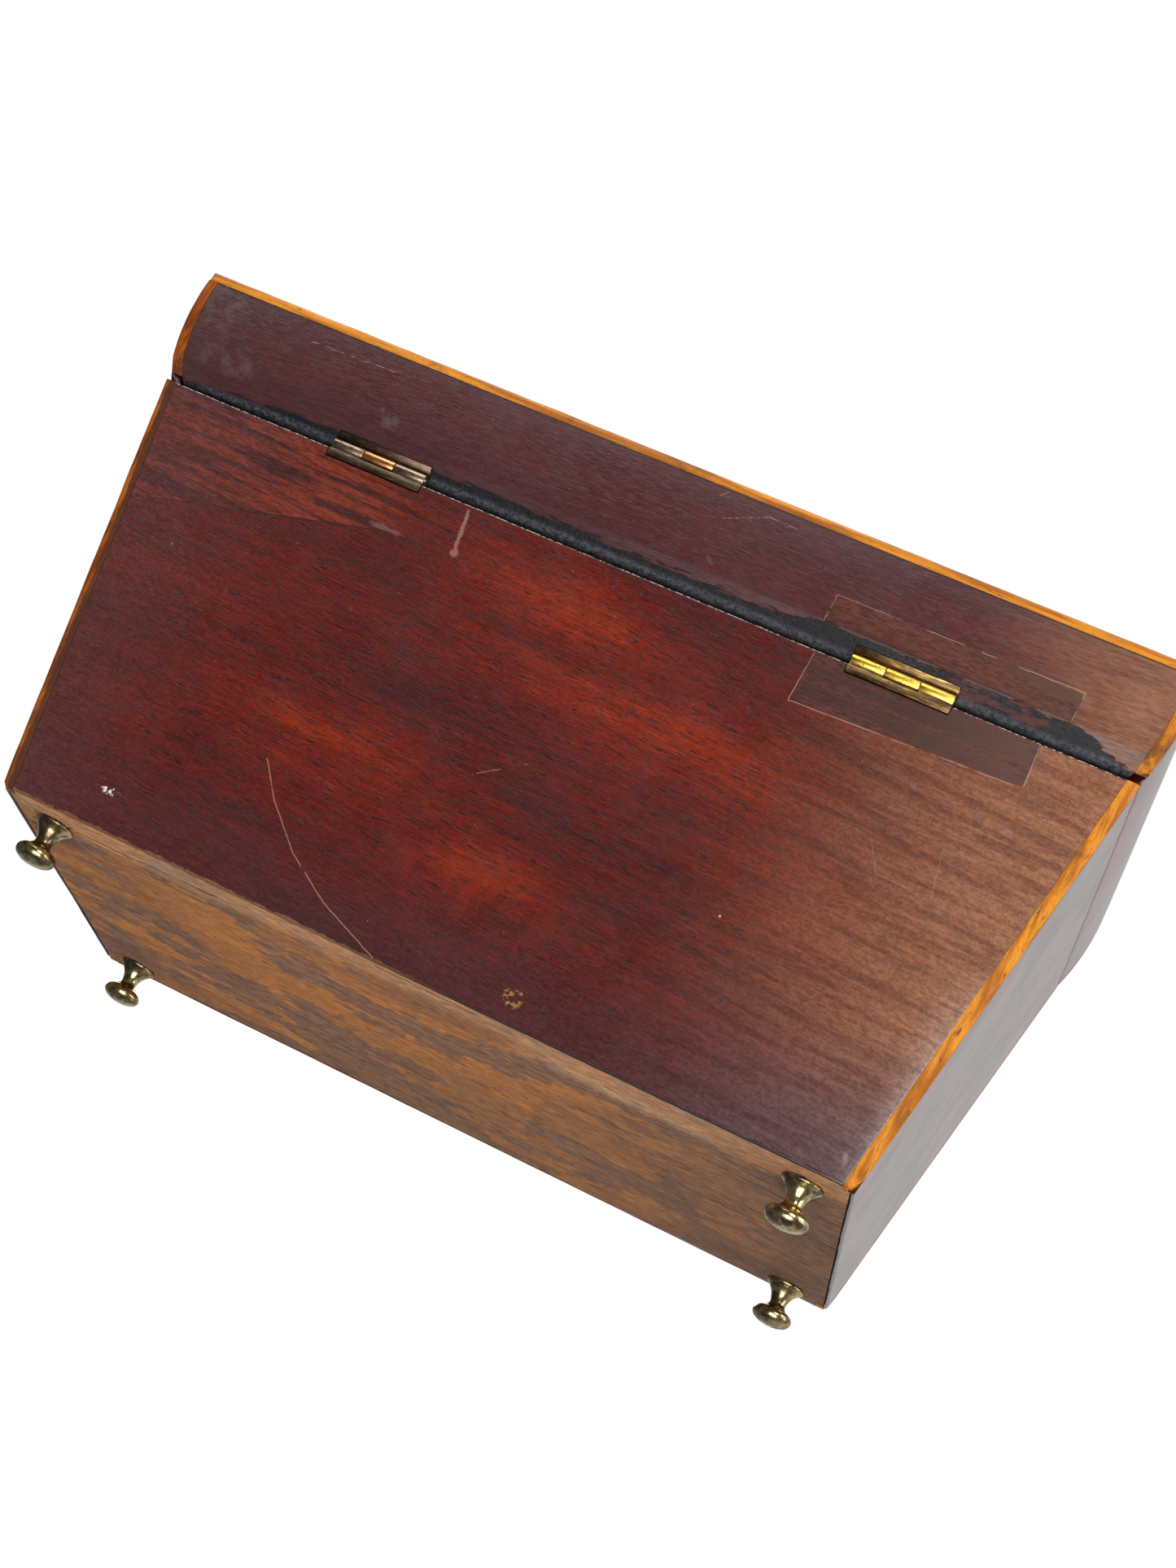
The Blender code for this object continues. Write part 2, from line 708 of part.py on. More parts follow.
def make_hinge(side, back_board, back_veneer, back_rail):
    """One three-knuckle stopped hinge: lower leaf, upper leaf, pin and four screws."""
    x = HINGE_X[side]
    low, high = x - HINGE_L / 2, x + HINGE_L / 2
    spans = knuckle_spans(x)
    clear_r = KNUCKLE_R + KNUCKLE_CLEAR
    lower = extruded(f"{side}_hinge_lower_leaf", lower_leaf_section(), low, high, "brass")
    upper = extruded(f"{side}_hinge_upper_leaf", upper_leaf_section(), low, high, "brass")
    for i, span in enumerate(spans):
        outer_one = i != 1
        mine, other = (lower, upper) if outer_one else (upper, lower)
        boolean(mine, knuckle(f"{side}_knuckle_{i}", span, KNUCKLE_R, KNUCKLE_GAP), "UNION")
        boolean(other, knuckle(f"{side}_knuckle_clear_{i}", span, clear_r, 0), "DIFFERENCE")
        if outer_one:
            web_low = (span[0] + KNUCKLE_GAP, HINGE_Y - WEB_HALF_Y, HINGE_Z + WEB_BOTTOM)
            web_high = (span[1] - KNUCKLE_GAP, HINGE_Y + WEB_HALF_Y, HINGE_Z + WEB_TOP)
            boolean(lower, box(f"{side}_web_{i}", web_low, web_high, CUTTERS), "UNION")
    bore = cylinder(f"{side}_pin_bore", (x, HINGE_Y, HINGE_Z), "X", PIN_HOLE_R, 2 * HINGE_L, CUTTERS)
    boolean(lower, bore)
    boolean(upper, bore)
    cylinder(f"{side}_hinge_pin", (x, HINGE_Y, HINGE_Z), "X", PIN_R, HINGE_L, "steel")
    lower_bed = extruded(f"{side}_lower_bed", lower_leaf_section(GAP), low - GAP, high + GAP, CUTTERS)
    upper_bed = extruded(f"{side}_upper_bed", upper_leaf_section(GAP), low - GAP, high + GAP, CUTTERS)
    boolean(back_board, lower_bed)
    boolean(back_veneer, lower_bed)
    boolean(back_rail, upper_bed)
    make_leaf_screws(side, lower, back_board, "lower", x)
    return [upper] + make_leaf_screws(side, upper, back_rail, "upper", x)


# ---------------------------------------------------------------- lock


def make_lock(front_board):
    """Lock case let into the front board, open towards the wood, and its sliding bolt."""
    outer_y = -(RIM_HALF_Y - LOCK_OUTER)
    inner_y = -(RIM_HALF_Y - WALL)
    top = RIM_Z - GAP
    low = (-LOCK_HALF_W, outer_y, top - LOCK_H)
    case = box("lock_case", low, (LOCK_HALF_W, inner_y, top), "brass")
    hollow_low = (-LOCK_HALF_W + LOCK_WALL, outer_y - LOCK_WALL, top - LOCK_H + LOCK_WALL)
    hollow_high = (LOCK_HALF_W - LOCK_WALL, inner_y - LOCK_WALL, top - LOCK_WALL)
    boolean(case, box("lock_hollow", hollow_low, hollow_high, CUTTERS))
    slot_low = (-2 * STAPLE_HALF_X, outer_y - LOCK_WALL, top - 2 * LOCK_WALL)
    slot_high = (2 * STAPLE_HALF_X, inner_y - LOCK_WALL, top + LOCK_WALL)
    boolean(case, box("lock_slot", slot_low, slot_high, CUTTERS))
    bed_low = (-LOCK_HALF_W - GAP, outer_y - GAP, top - LOCK_H - GAP)
    bed_high = (LOCK_HALF_W + GAP, inner_y + BOARD, RIM_Z + BOARD)
    boolean(front_board, box("lock_bed", bed_low, bed_high, CUTTERS))
    bolt_z = RIM_Z - BOLT_DROP
    bolt_low = (BOLT_X[0], STAPLE_Y - BOLT_DEPTH / 2, bolt_z - BOLT_H / 2)
    bolt_high = (BOLT_X[1], STAPLE_Y + BOLT_DEPTH / 2, bolt_z + BOLT_H / 2)
    bolt = box("lock_bolt", bolt_low, bolt_high, "steel")
    hang_on(empty_at("bolt_slide", (BOLT_X[1], STAPLE_Y, bolt_z)), [bolt])


def make_link(front_rail):
    """Link plate under the lid's front rail, and the staple below it that the bolt passes through."""
    plate_z = LID_BOTTOM + GAP / 2
    low = (-LINK_HALF_W, STAPLE_Y - LINK_DEPTH / 2, plate_z)
    high = (LINK_HALF_W, STAPLE_Y + LINK_DEPTH / 2 - 2 * MM, plate_z + LINK_T)
    plate = box("lock_link", low, high, "brass")
    staple_low = (-STAPLE_HALF_X, STAPLE_Y - STAPLE_HALF_Y, RIM_Z - STAPLE_DROP)
    staple_high = (STAPLE_HALF_X, STAPLE_Y + STAPLE_HALF_Y, plate_z - GAP)
    staple = box("lock_staple", staple_low, staple_high, "brass")
    eye_z = RIM_Z - BOLT_DROP
    eye_low = (-2 * STAPLE_HALF_X, STAPLE_Y - EYE_HALF_Y, eye_z - EYE_HALF_Z)
    eye_high = (2 * STAPLE_HALF_X, STAPLE_Y + EYE_HALF_Y, eye_z + EYE_HALF_Z)
    boolean(staple, box("staple_eye", eye_low, eye_high, CUTTERS))
    bed_low = (low[0] - GAP, low[1] - GAP, LID_BOTTOM - BOARD)
    bed_high = (high[0] + GAP, high[1] + GAP, high[2] + GAP)
    boolean(front_rail, box("link_bed", bed_low, bed_high, CUTTERS))
    return [plate, staple]


def make_escutcheon(front_board, front_veneer):
    """Diamond keyhole plate let into the front veneer, square to the flared face."""
    z = RIM_Z - KEYHOLE_DROP
    half_y = outer_half(z)[1]
    lean = math.atan2(RIM_HALF_Y - BASE_HALF_Y, CARCASE_H)
    keyhole = cylinder("keyhole_round", (0, -half_y, z), "Y", KEYHOLE_R, 2 * BOARD, CUTTERS)
    slot_low = (-KEYHOLE_SLOT_HALF, -half_y - BOARD, z - KEYHOLE_SLOT_L)
    slot = box("keyhole_slot", slot_low, (KEYHOLE_SLOT_HALF, -half_y + BOARD, z), CUTTERS)
    boolean(keyhole, slot, "UNION")
    plate = diamond("keyhole_plate", ESCUTCHEON_HALF_X, ESCUTCHEON_HALF_Z, ESCUTCHEON_T, "brass")
    plate.location = (0, -half_y + (VENEER - ESCUTCHEON_T) / 2, z)
    plate.rotation_euler = (lean, 0, 0)
    bed = diamond("keyhole_bed", ESCUTCHEON_HALF_X + GAP, ESCUTCHEON_HALF_Z + GAP, 4 * VENEER, CUTTERS)
    bed.location = (0, -half_y, z)
    bed.rotation_euler = (lean, 0, 0)
    boolean(front_veneer, bed)
    boolean(plate, keyhole)
    boolean(front_board, keyhole)


def diamond(name, half_x, half_z, thickness, kind):
    """A flat diamond about the origin, facing along Y: a four-sided cylinder, squeezed."""
    bm = bmesh.new()
    bmesh.ops.create_cone(
        bm,
        cap_ends=True,
        segments=4,
        radius1=1,
        radius2=1,
        depth=thickness,
        matrix=AXIS_TURN["Y"],
    )
    bmesh.ops.scale(bm, vec=(half_x, 1, half_z), verts=bm.verts)
    return place(name, mesh_from(name, bm), kind)


# ---------------------------------------------------------------- build


def main():
    clear_scene()
    new_collection(PARTS)
    cutters = new_collection(CUTTERS)
    for name in MATERIALS:
        make_material(name)
    walls = make_walls()
    veneers = make_veneers()
    make_body_strips()
    make_bottom_and_feet()
    make_partitions()
    make_ledges()
    make_canister_covers()
    make_bowl()
    lid_pieces, rails = make_lid_wood()
    for side in SIDES:
        lid_pieces += make_hinge(side, walls["back"], veneers["back"], rails["back"])
    make_lock(walls["front"])
    lid_pieces += make_link(rails["front"])
    make_escutcheon(walls["front"], veneers["front"])
    hang_on(empty_at("lid_hinge_axis", (0, HINGE_Y, HINGE_Z)), lid_pieces)
    cutters.hide_render = True


main()
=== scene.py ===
"""The looks of a worn Regency tea caddy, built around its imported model.

Every piece is made in the model's own frame: metres, +Z up, the front towards -Y. Procedural
materials read object coordinates, which are that frame's, so marks are placed in metres on the
caddy. Left and right are as seen from the front: the left end is at -X.
"""

import functools
import math
from types import SimpleNamespace

import bmesh
import bpy
from mathutils import Matrix, Vector, noise


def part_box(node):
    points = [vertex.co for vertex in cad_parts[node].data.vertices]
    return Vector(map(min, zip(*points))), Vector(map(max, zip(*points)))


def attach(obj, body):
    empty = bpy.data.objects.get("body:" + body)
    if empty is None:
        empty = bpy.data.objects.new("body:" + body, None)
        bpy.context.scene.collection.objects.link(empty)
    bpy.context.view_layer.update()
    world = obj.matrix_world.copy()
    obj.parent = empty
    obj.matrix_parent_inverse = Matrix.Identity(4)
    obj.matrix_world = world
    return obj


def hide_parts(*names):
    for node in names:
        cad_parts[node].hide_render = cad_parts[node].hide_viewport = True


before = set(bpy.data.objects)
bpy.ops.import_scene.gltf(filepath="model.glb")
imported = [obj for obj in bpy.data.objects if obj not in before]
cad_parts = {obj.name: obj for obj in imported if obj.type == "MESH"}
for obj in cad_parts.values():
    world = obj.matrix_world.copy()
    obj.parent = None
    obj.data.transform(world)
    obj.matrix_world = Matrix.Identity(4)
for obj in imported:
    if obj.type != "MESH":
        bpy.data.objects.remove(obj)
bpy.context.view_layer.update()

MM = 0.001
box = functools.cache(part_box)

# ---------------------------------------------------------------- sizes, from the frame

RIM = box("body_strip_back_right")[1]
TOE = box("body_strip_back_right")[0]
STRIP = 3.5 * MM
BASE_X = TOE.x + STRIP
BASE_Y = TOE.y + STRIP
LID_LOW = box("lid_front_rail")[0].z
LID_HIGH = box("lid_top_strip_back")[1].z
SWELL = box("lid_strip_back_right")[1].x - RIM.x
SWELL_AT = 30 * MM
RAIL_HIGH = LID_HIGH - STRIP
WALL = RIM.y - box("lid_back_rail")[0].y
BEVEL = 5.7 * MM
BEVEL_TOP = LID_LOW + 7.67 * MM
VENEER = 1.3 * MM
GAP = 0.3 * MM


def outer_half(z):
    """Half width and half depth of the caddy's outer surface at a height."""
    if z <= RIM.z:
        t = (z - TOE.z) / (RIM.z - TOE.z)
        return BASE_X + t * (RIM.x - BASE_X), BASE_Y + t * (RIM.y - BASE_Y)
    u = (z - LID_LOW) / SWELL_AT
    swell = SWELL * (1 - (u - 1) ** 2)
    return RIM.x + swell, RIM.y + swell


class Face:
    """One of the four sides, with its outward and sideways directions."""

    def __init__(self, name, out, along):
        self.name = name
        self.out = Vector(out)
        self.along = Vector(along)
        self.is_end = abs(out[0]) > 0

    def halves(self, z):
        hx, hy = outer_half(z)
        return (hy, hx) if self.is_end else (hx, hy)

    def point(self, u, z, sink=0.0):
        return self.along * u + self.out * (self.halves(z)[1] - sink) + Vector((0, 0, z))


FACES = {
    "back": Face("back", (0, 1, 0), (-1, 0, 0)),
    "front": Face("front", (0, -1, 0), (1, 0, 0)),
    "left": Face("left", (-1, 0, 0), (0, -1, 0)),
    "right": Face("right", (1, 0, 0), (0, 1, 0)),
}
SIDES = {"left": -1, "right": 1}
DEPTHS = {"front": -1, "back": 1}

# ---------------------------------------------------------------- worn surfaces


def arris(distance, radius):
    """How far a rounded edge falls away, at a distance from it."""
    reach = min(max(radius - distance, 0.0), radius)
    return radius - math.sqrt(radius * radius - reach * reach)


def wobble(u, z, seed, size, depth):
    """Smooth noise between 0 and depth, over features of a size."""
    return depth * (0.5 + 0.5 * noise.noise(Vector((u / size, z / size, seed))))


FACE_SEED = {"back": 3.1, "front": 7.7, "left": 12.4, "right": 17.9}
ROLL_REACH = 9 * MM
ROLL_DEPTH = 0.9 * MM


def face_sink(face, u, z):
    """The hollows of an old veneered face, and the roll towards the back's left corner."""
    seed = FACE_SEED[face.name]
    depth = (0.22 if face.is_end else 0.12) * MM
    sink = wobble(u, z, seed, 45 * MM, depth)
    if face.name == "back" and z <= RIM.z:
        corner = max(face.halves(z)[0] - u, 0.0)
        low = (RIM.z - z) / (RIM.z - TOE.z)
        if corner < ROLL_REACH:
            sink += ROLL_DEPTH * (0.25 + 0.75 * low) * (1 - corner / ROLL_REACH) ** 2
    return sink


def toe_sink(u, z, seed):
    """The rubbed lower edge, with small bruises."""
    radius = 0.35 * MM + wobble(u, seed, 5.5, 9 * MM, 0.55 * MM)
    return arris(z - TOE.z, radius)


# ---------------------------------------------------------------- mesh helpers


def finished(name, bm, material, smooth=40, closed=True):
    """A mesh object, shaded smooth up to an angle in degrees."""
    if closed:
        bmesh.ops.recalc_face_normals(bm, faces=bm.faces)
    mesh = bpy.data.meshes.new(name)
    bm.to_mesh(mesh)
    bm.free()
    mesh.shade_smooth()
    mesh.set_sharp_from_angle(angle=math.radians(smooth))
    mesh.materials.append(material)
    piece = bpy.data.objects.new(name, mesh)
    bpy.context.scene.collection.objects.link(piece)
    return piece


def applied(piece):
    """Replace a piece's mesh with what its modifiers make."""
    graph = bpy.context.evaluated_depsgraph_get()
    mesh = bpy.data.meshes.new_from_object(piece.evaluated_get(graph))
    piece.modifiers.clear()
    piece.data = mesh
    return piece


def sheet(name, us, vs, point, thickness, material, keep=None):
    """An open grid through point(u, v), thickened inwards."""
    bm = bmesh.new()
    rows = [[bm.verts.new(point(u, v)) for u in us] for v in vs]
    for j in range(len(vs) - 1):
        for i in range(len(us) - 1):
            middle = ((us[i] + us[i + 1]) / 2, (vs[j] + vs[j + 1]) / 2)
            if keep is None or keep(*middle):
                bm.faces.new((rows[j][i], rows[j][i + 1], rows[j + 1][i + 1], rows[j + 1][i]))
    loose = [vert for vert in bm.verts if not vert.link_faces]
    bmesh.ops.delete(bm, geom=loose, context="VERTS")
    piece = finished(name, bm, material, closed=False)
    shell = piece.modifiers.new("thickness", "SOLIDIFY")
    shell.thickness = thickness
    shell.offset = -1
    applied(piece)
    solid = bmesh.new()
    solid.from_mesh(piece.data)
    bmesh.ops.recalc_face_normals(solid, faces=solid.faces)
    solid.to_mesh(piece.data)
    solid.free()
    piece.data.shade_smooth()
    piece.data.set_sharp_from_angle(angle=math.radians(40))
    return piece


def tube(name, rings, material, closed_ends=True, smooth=40):
    """A solid through rings of points, each with the same number."""
    bm = bmesh.new()
    made = [[bm.verts.new(p) for p in ring] for ring in rings]
    count = len(made[0])
    for near, far in zip(made, made[1:]):
        for i in range(count):
            j = (i + 1) % count
            bm.faces.new((near[i], near[j], far[j], far[i]))
    if closed_ends:
        bm.faces.new(made[0])
        bm.faces.new(made[-1])
    return finished(name, bm, material, smooth)


def turned(name, profile, centre, material, segments=64):
    """A round solid turned about Z from (radius, z) points that start and end on the axis."""
    bm = bmesh.new()
    rings = []
    for radius, z in profile[1:-1]:
        ring = []
        for k in range(segments):
            angle = math.tau * k / segments
            spoke = Vector((radius * math.cos(angle), radius * math.sin(angle), z))
            ring.append(bm.verts.new(centre + spoke))
        rings.append(ring)
    for near, far in zip(rings, rings[1:]):
        for k in range(segments):
            n = (k + 1) % segments
            bm.faces.new((near[k], near[n], far[n], far[k]))
    for (_, z), ring in ((profile[0], rings[0]), (profile[-1], rings[-1])):
        hub = bm.verts.new(centre + Vector((0, 0, z)))
        for k in range(segments):
            bm.faces.new((hub, ring[k], ring[(k + 1) % segments]))
    return finished(name, bm, material)


def between(p, q, r, s, t):
    """A Catmull-Rom curve's value a share t of the way from q to r."""
    square, cube = 2 * p - 5 * q + 4 * r - s, 3 * q - p - 3 * r + s
    return 0.5 * (2 * q + (r - p) * t + square * t * t + cube * t ** 3)


def smooth_profile(points, steps):
    """A smooth curve through profile points, kept off the far side of the axis."""
    ends = [points[0]] + points + [points[-1]]
    made = []
    for a, b, c, d in zip(ends, ends[1:], ends[2:], ends[3:]):
        for k in range(steps):
            t = k / steps
            made.append(tuple(between(*values, t) for values in zip(a, b, c, d)))
    return [(max(radius, 0.0), z) for radius, z in made] + [points[-1]]


def block(name, low, high, material, bevel=0.3 * MM, segments=2):
    """A box with rounded edges."""
    bm = bmesh.new()
    bmesh.ops.create_cube(bm, size=1.0)
    low, high = Vector(low), Vector(high)
    bmesh.ops.scale(bm, vec=high - low, verts=bm.verts)
    bmesh.ops.translate(bm, vec=(low + high) / 2, verts=bm.verts)
    if bevel:
        bmesh.ops.bevel(
            bm,
            geom=list(bm.edges),
            offset=bevel,
            segments=segments,
            affect="EDGES",
            profile=0.5,
        )
    return finished(name, bm, material)


def cut(piece, *cutters):
    """Take cutters out of a piece, then remove them."""
    for cutter in cutters:
        modifier = piece.modifiers.new("cut", "BOOLEAN")
        modifier.object = cutter
        modifier.operation = "DIFFERENCE"
    applied(piece)
    for cutter in cutters:
        bpy.data.objects.remove(cutter)
    piece.data.set_sharp_from_angle(angle=math.radians(40))
    return piece


def grown(node, grow):
    """A cutter: a CAD node's box, grown on all sides."""
    low, high = box(node)
    spare = Vector((grow, grow, grow))
    return block("cutter", low - spare, high + spare, None, bevel=0)


def stations(low, high, step, edges=(), extra=()):
    """Grid positions between two ends: closer at the edges, with extra ones where asked."""
    count = max(2, round((high - low) / step))
    made = {low + (high - low) * i / count for i in range(count + 1)}
    made |= {low + e for e in edges} | {high - e for e in edges} | set(extra)
    made = sorted(v for v in made if low <= v <= high)
    kept = [made[0]]
    for value in made[1:]:
        if value - kept[-1] > 0.02 * MM:
            kept.append(value)
    return kept


EDGE = tuple(v * MM for v in (0.12, 0.3, 0.55, 0.9, 1.4, 2.2, 3.4, 5))

# ---------------------------------------------------------------- material language


class Field:
    """A node's output, to calculate with."""

    def __init__(self, nodes, socket):
        self.nodes = nodes
        self.socket = socket

    def __add__(self, other):
        return self.nodes.math("ADD", self, other)

    def __sub__(self, other):
        return self.nodes.math("SUBTRACT", self, other)

    def __mul__(self, other):
        return self.nodes.math("MULTIPLY", self, other)

    def remap(self, low, high, to_low=0.0, to_high=1.0, smooth=True):
        """The range from low to high taken to another one, and held at its ends."""
        kind = "SMOOTHSTEP" if smooth else "LINEAR"
        node = self.nodes.add("ShaderNodeMapRange", interpolation_type=kind)
        numbers = {"From Min": low, "From Max": high, "To Min": to_low, "To Max": to_high}
        for name, number in numbers.items():
            node.inputs[name].default_value = number
        self.nodes.feed(node.inputs["Value"], self)
        return Field(self.nodes, node.outputs["Result"])


class Nodes:
    """A node tree in the making. Its methods add nodes and return fields."""

    def __init__(self, tree):
        self.tree = tree

    def add(self, kind, **settings):
        node = self.tree.nodes.new(kind)
        for name, value in settings.items():
            setattr(node, name, value)
        return node

    def feed(self, socket, value):
        """Link a field or an output to a socket, or set the socket to a plain value."""
        if isinstance(value, Field):
            value = value.socket
        if isinstance(value, bpy.types.NodeSocket):
            self.tree.links.new(value, socket)
        elif isinstance(value, tuple) and socket.type == "RGBA":
            socket.default_value = (*value, 1.0)
        else:
            socket.default_value = value

    def fed(self, node, output, *values):
        """A node's output, once its first inputs have their values."""
        for socket, value in zip(node.inputs, values):
            self.feed(socket, value)
        return Field(self, node.outputs[output])

    def math(self, operation, a, b=0.0):
        return self.fed(self.add("ShaderNodeMath", operation=operation), 0, a, b)

    def vector(self, operation, a, b=(0.0, 0.0, 0.0)):
        output = "Value" if operation in ("LENGTH", "DOT_PRODUCT") else "Vector"
        return self.fed(self.add("ShaderNodeVectorMath", operation=operation), output, a, b)

    def mix_shaders(self, share, first, second):
        return self.fed(self.add("ShaderNodeMixShader"), 0, share, first.outputs[0], second.outputs[0])


class Look(Nodes):
    """A procedural Principled material: a colour painted over and over, and a relief."""

    def __init__(self, name):
        self.material = bpy.data.materials.new(name)
        self.material.use_nodes = True
        super().__init__(self.material.node_tree)
        self.shader = self.tree.nodes["Principled BSDF"]
        self.place = Field(self, self.add("ShaderNodeTexCoord").outputs["Object"])
        self.colour = None
        self.normal = None

    def xyz(self, vector=None):
        node = self.add("ShaderNodeSeparateXYZ")
        self.feed(node.inputs[0], vector or self.place)
        return [Field(self, socket) for socket in node.outputs]

    def noise(self, scale, detail=3.0, rough=0.55, place=None, warp=0.0, output="Fac"):
        """Even noise, with a number of features to the metre."""
        node = self.add("ShaderNodeTexNoise")
        settings = {"Scale": scale, "Detail": detail, "Roughness": rough, "Distortion": warp}
        for name, value in settings.items():
            node.inputs[name].default_value = value
        self.feed(node.inputs["Vector"], place or self.place)
        return Field(self, node.outputs[output])

    def grain(self, along, across, detail=3.0, rough=0.55, axis="X", place=None):
        """Noise with features of one size along an axis and another across it."""
        scale = [1 / across] * 3
        scale["XYZ".index(axis)] = 1 / along
        stretched = self.vector("MULTIPLY", place or self.place, tuple(scale))
        return self.noise(1.0, detail, rough, stretched)

    def mix(self, share, under, over):
        node = self.add("ShaderNodeMix", data_type="RGBA")
        for index, value in ((0, share), (6, under), (7, over)):
            self.feed(node.inputs[index], value)
        return Field(self, node.outputs[2])

    def paint(self, share, colour):
        """Lay a colour over what is there, as far as a mask says."""
        self.colour = self.mix(share, self.colour, colour)

    def emboss(self, height, distance):
        """Add a relief to what is there."""
        node = self.add("ShaderNodeBump")
        node.inputs["Strength"].default_value = 1.0
        node.inputs["Distance"].default_value = distance
        self.feed(node.inputs["Height"], height)
        if self.normal is not None:
            self.feed(node.inputs["Normal"], self.normal)
        self.normal = Field(self, node.outputs[0])

    def most(self, values):
        """The highest of several fields."""
        return functools.reduce(lambda a, b: self.math("MAXIMUM", a, b), values)

    def scaled(self, vector, factor):
        """A vector or colour times a number."""
        node = self.add("ShaderNodeVectorMath", operation="SCALE")
        self.feed(node.inputs["Scale"], factor)
        return self.fed(node, 0, vector)

    def jitter(self, size, amount, place=None):
        """The place, pushed about by noise of a size, up to an amount."""
        place = place or self.place
        wander = self.noise(1 / size, 2.0, place=place, output="Color")
        centred = self.vector("SUBTRACT", wander, (0.5, 0.5, 0.5))
        return self.vector("ADD", place, self.scaled(centred, 2 * amount))

    def blob(self, centre, radii, soft=0.5, place=None):
        """1 inside an ellipsoid, falling softly to 0 at its edge."""
        moved = self.vector("SUBTRACT", place or self.place, centre)
        return self.vector("LENGTH", self.vector("DIVIDE", moved, radii)).remap(1.0, 1.0 - soft)

    def spot(self, centre, half, soft=0.5, place=None):
        """A blob right through the caddy, from its (x, z) centre and half sizes."""
        return self.blob((centre[0], 0.0, centre[1]), (half[0], 1.0, half[1]), soft, place)

    def spots(self, table, soft=0.5, place=None):
        """The strongest of several spots, each a centre, half sizes and a strength."""
        return self.most(self.spot(centre, half, soft, place) * power for centre, half, power in table)

    def line(self, start, end, width, soft=None, place=None):
        """1 along a straight mark between two (x, z) points, seen flat on the XZ plane."""
        start, end = Vector((start[0], 0, start[1])), Vector((end[0], 0, end[1]))
        length = (end - start).length
        way = tuple((end - start) / length)
        flat = self.vector("MULTIPLY", place or self.place, (1.0, 0.0, 1.0))
        offset = self.vector("SUBTRACT", flat, tuple(start))
        along = self.vector("DOT_PRODUCT", offset, way)
        held = self.math("MINIMUM", self.math("MAXIMUM", along, 0.0), length)
        gap = self.vector("LENGTH", self.vector("SUBTRACT", offset, self.scaled(way, held)))
        return gap.remap(width / 2 + (soft or width / 2), width / 2)

    def path(self, points, width, place):
        """A mark through several points."""
        return self.most(self.line(a, b, width, place=place) for a, b in zip(points, points[1:]))

    def crack(self, start, end, place):
        """1 along a crack between two (x, y) points, seen flat on the XY plane."""
        x, y, _ = self.xyz(place)
        swapped = self.fed(self.add("ShaderNodeCombineXYZ"), 0, x, 0.0, y)
        return self.line(start, end, 0.35 * MM, place=swapped)

    def broken(self, mask, size, share):
        """A mark that comes and goes along its length."""
        return mask * self.noise(1 / size, 2.0).remap(0.5 - share, 0.62 - share)

    def dust(self, size, amount):
        """Scattered pale specks: how far apart, and the share of places that have one."""
        cells = self.add("ShaderNodeTexVoronoi", feature="F1")
        cells.inputs["Scale"].default_value = 1 / size
        self.feed(cells.inputs["Vector"], self.place)
        speck = Field(self, cells.outputs["Distance"]).remap(0.055, 0.03)
        return speck * self.xyz(cells.outputs["Color"])[0].remap(1 - amount, 1 - amount + 0.02)

    def done(self, rough, **values):
        """Wire the shader. Further values are set on its own sockets."""
        self.feed(self.shader.inputs["Base Color"], self.colour)
        self.feed(self.shader.inputs["Roughness"], rough)
        self.feed(self.shader.inputs["Normal"], self.normal)
        for name, value in values.items():
            self.feed(self.shader.inputs[name.replace("_", " ").title().replace("Ior", "IOR")], value)
        return self.material


# ---------------------------------------------------------------- wood

DARK, RED, GLOW = (0.040, 0.0085, 0.0085), (0.090, 0.0090, 0.0052), (0.165, 0.0165, 0.0042)
# A grey-brown painted in for the glossy reflection of a bright window at the caddy's left end.
PAINTED_REFLECTION_COLOUR = (0.205, 0.086, 0.043)
SPECK = (0.55, 0.46, 0.42)
HANDLED = (0.62, 0.44, 0.8)

# Marks on the caddy, as (x, z) points: spots also have half sizes and a strength.
BACK_GLOWS = (
    ((0.012, 0.124), (0.055, 0.018), 0.9),
    ((-0.030, 0.104), (0.080, 0.022), 1.0),
    ((0.045, 0.060), (0.075, 0.019), 0.75),
    ((-0.004, 0.047), (0.032, 0.014), 0.9),
    ((-0.085, 0.075), (0.050, 0.020), 0.55),
    ((0.105, 0.050), (0.020, 0.018), 0.45),
)
FRONT_GLOWS = (
    ((0.03, 0.09), (0.10, 0.03), 0.9),
    ((-0.08, 0.06), (0.06, 0.03), 0.7),
    ((0.09, 0.04), (0.05, 0.016), 0.6),
)
LID_GLOWS = (((-0.095, 0.166), (0.060, 0.007), 0.75), ((-0.030, 0.160), (0.060, 0.010), 0.30))
LID_RUBS = (
    ((0.149, 0.170), (0.012, 0.012), 0.75),
    ((0.136, 0.154), (0.014, 0.005), 0.55),
    ((0.082, 0.1545), (0.004, 0.0022), 0.5),
    ((-0.021, 0.1530), (0.003, 0.0016), 0.6),
)
LID_NICKS = (
    ((-0.018, 0.1662), (-0.030, 0.1720), 0.14 * MM),
    ((-0.030, 0.1720), (-0.038, 0.1716), 0.14 * MM),
    ((-0.013, 0.1705), (-0.016, 0.1745), 0.12 * MM),
    ((0.115, 0.1690), (0.088, 0.1700), 0.14 * MM),
)
WEDGE = ((0.1389, 0.1051), (0.0622, 0.1264))
BODY_PATCH = ((-0.0575, 0.1420), (-0.0568, 0.1255), (-0.1230, 0.1282), (-0.1222, 0.1420))
LID_PATCH = ((-0.0560, 0.1500), (-0.0565, 0.1582), (-0.1275, 0.1590), (-0.1270, 0.1500))
HAIRS = (
    ((-0.093, 0.099), (-0.098, 0.0905), (-0.107, 0.0905)),
    ((-0.111, 0.104), (-0.1135, 0.0905)),
)
SCRATCH = ((0.0638, 0.0508), (0.0560, 0.0410), (0.0440, 0.0300), (0.0300, 0.0215), (0.0108, 0.0138))

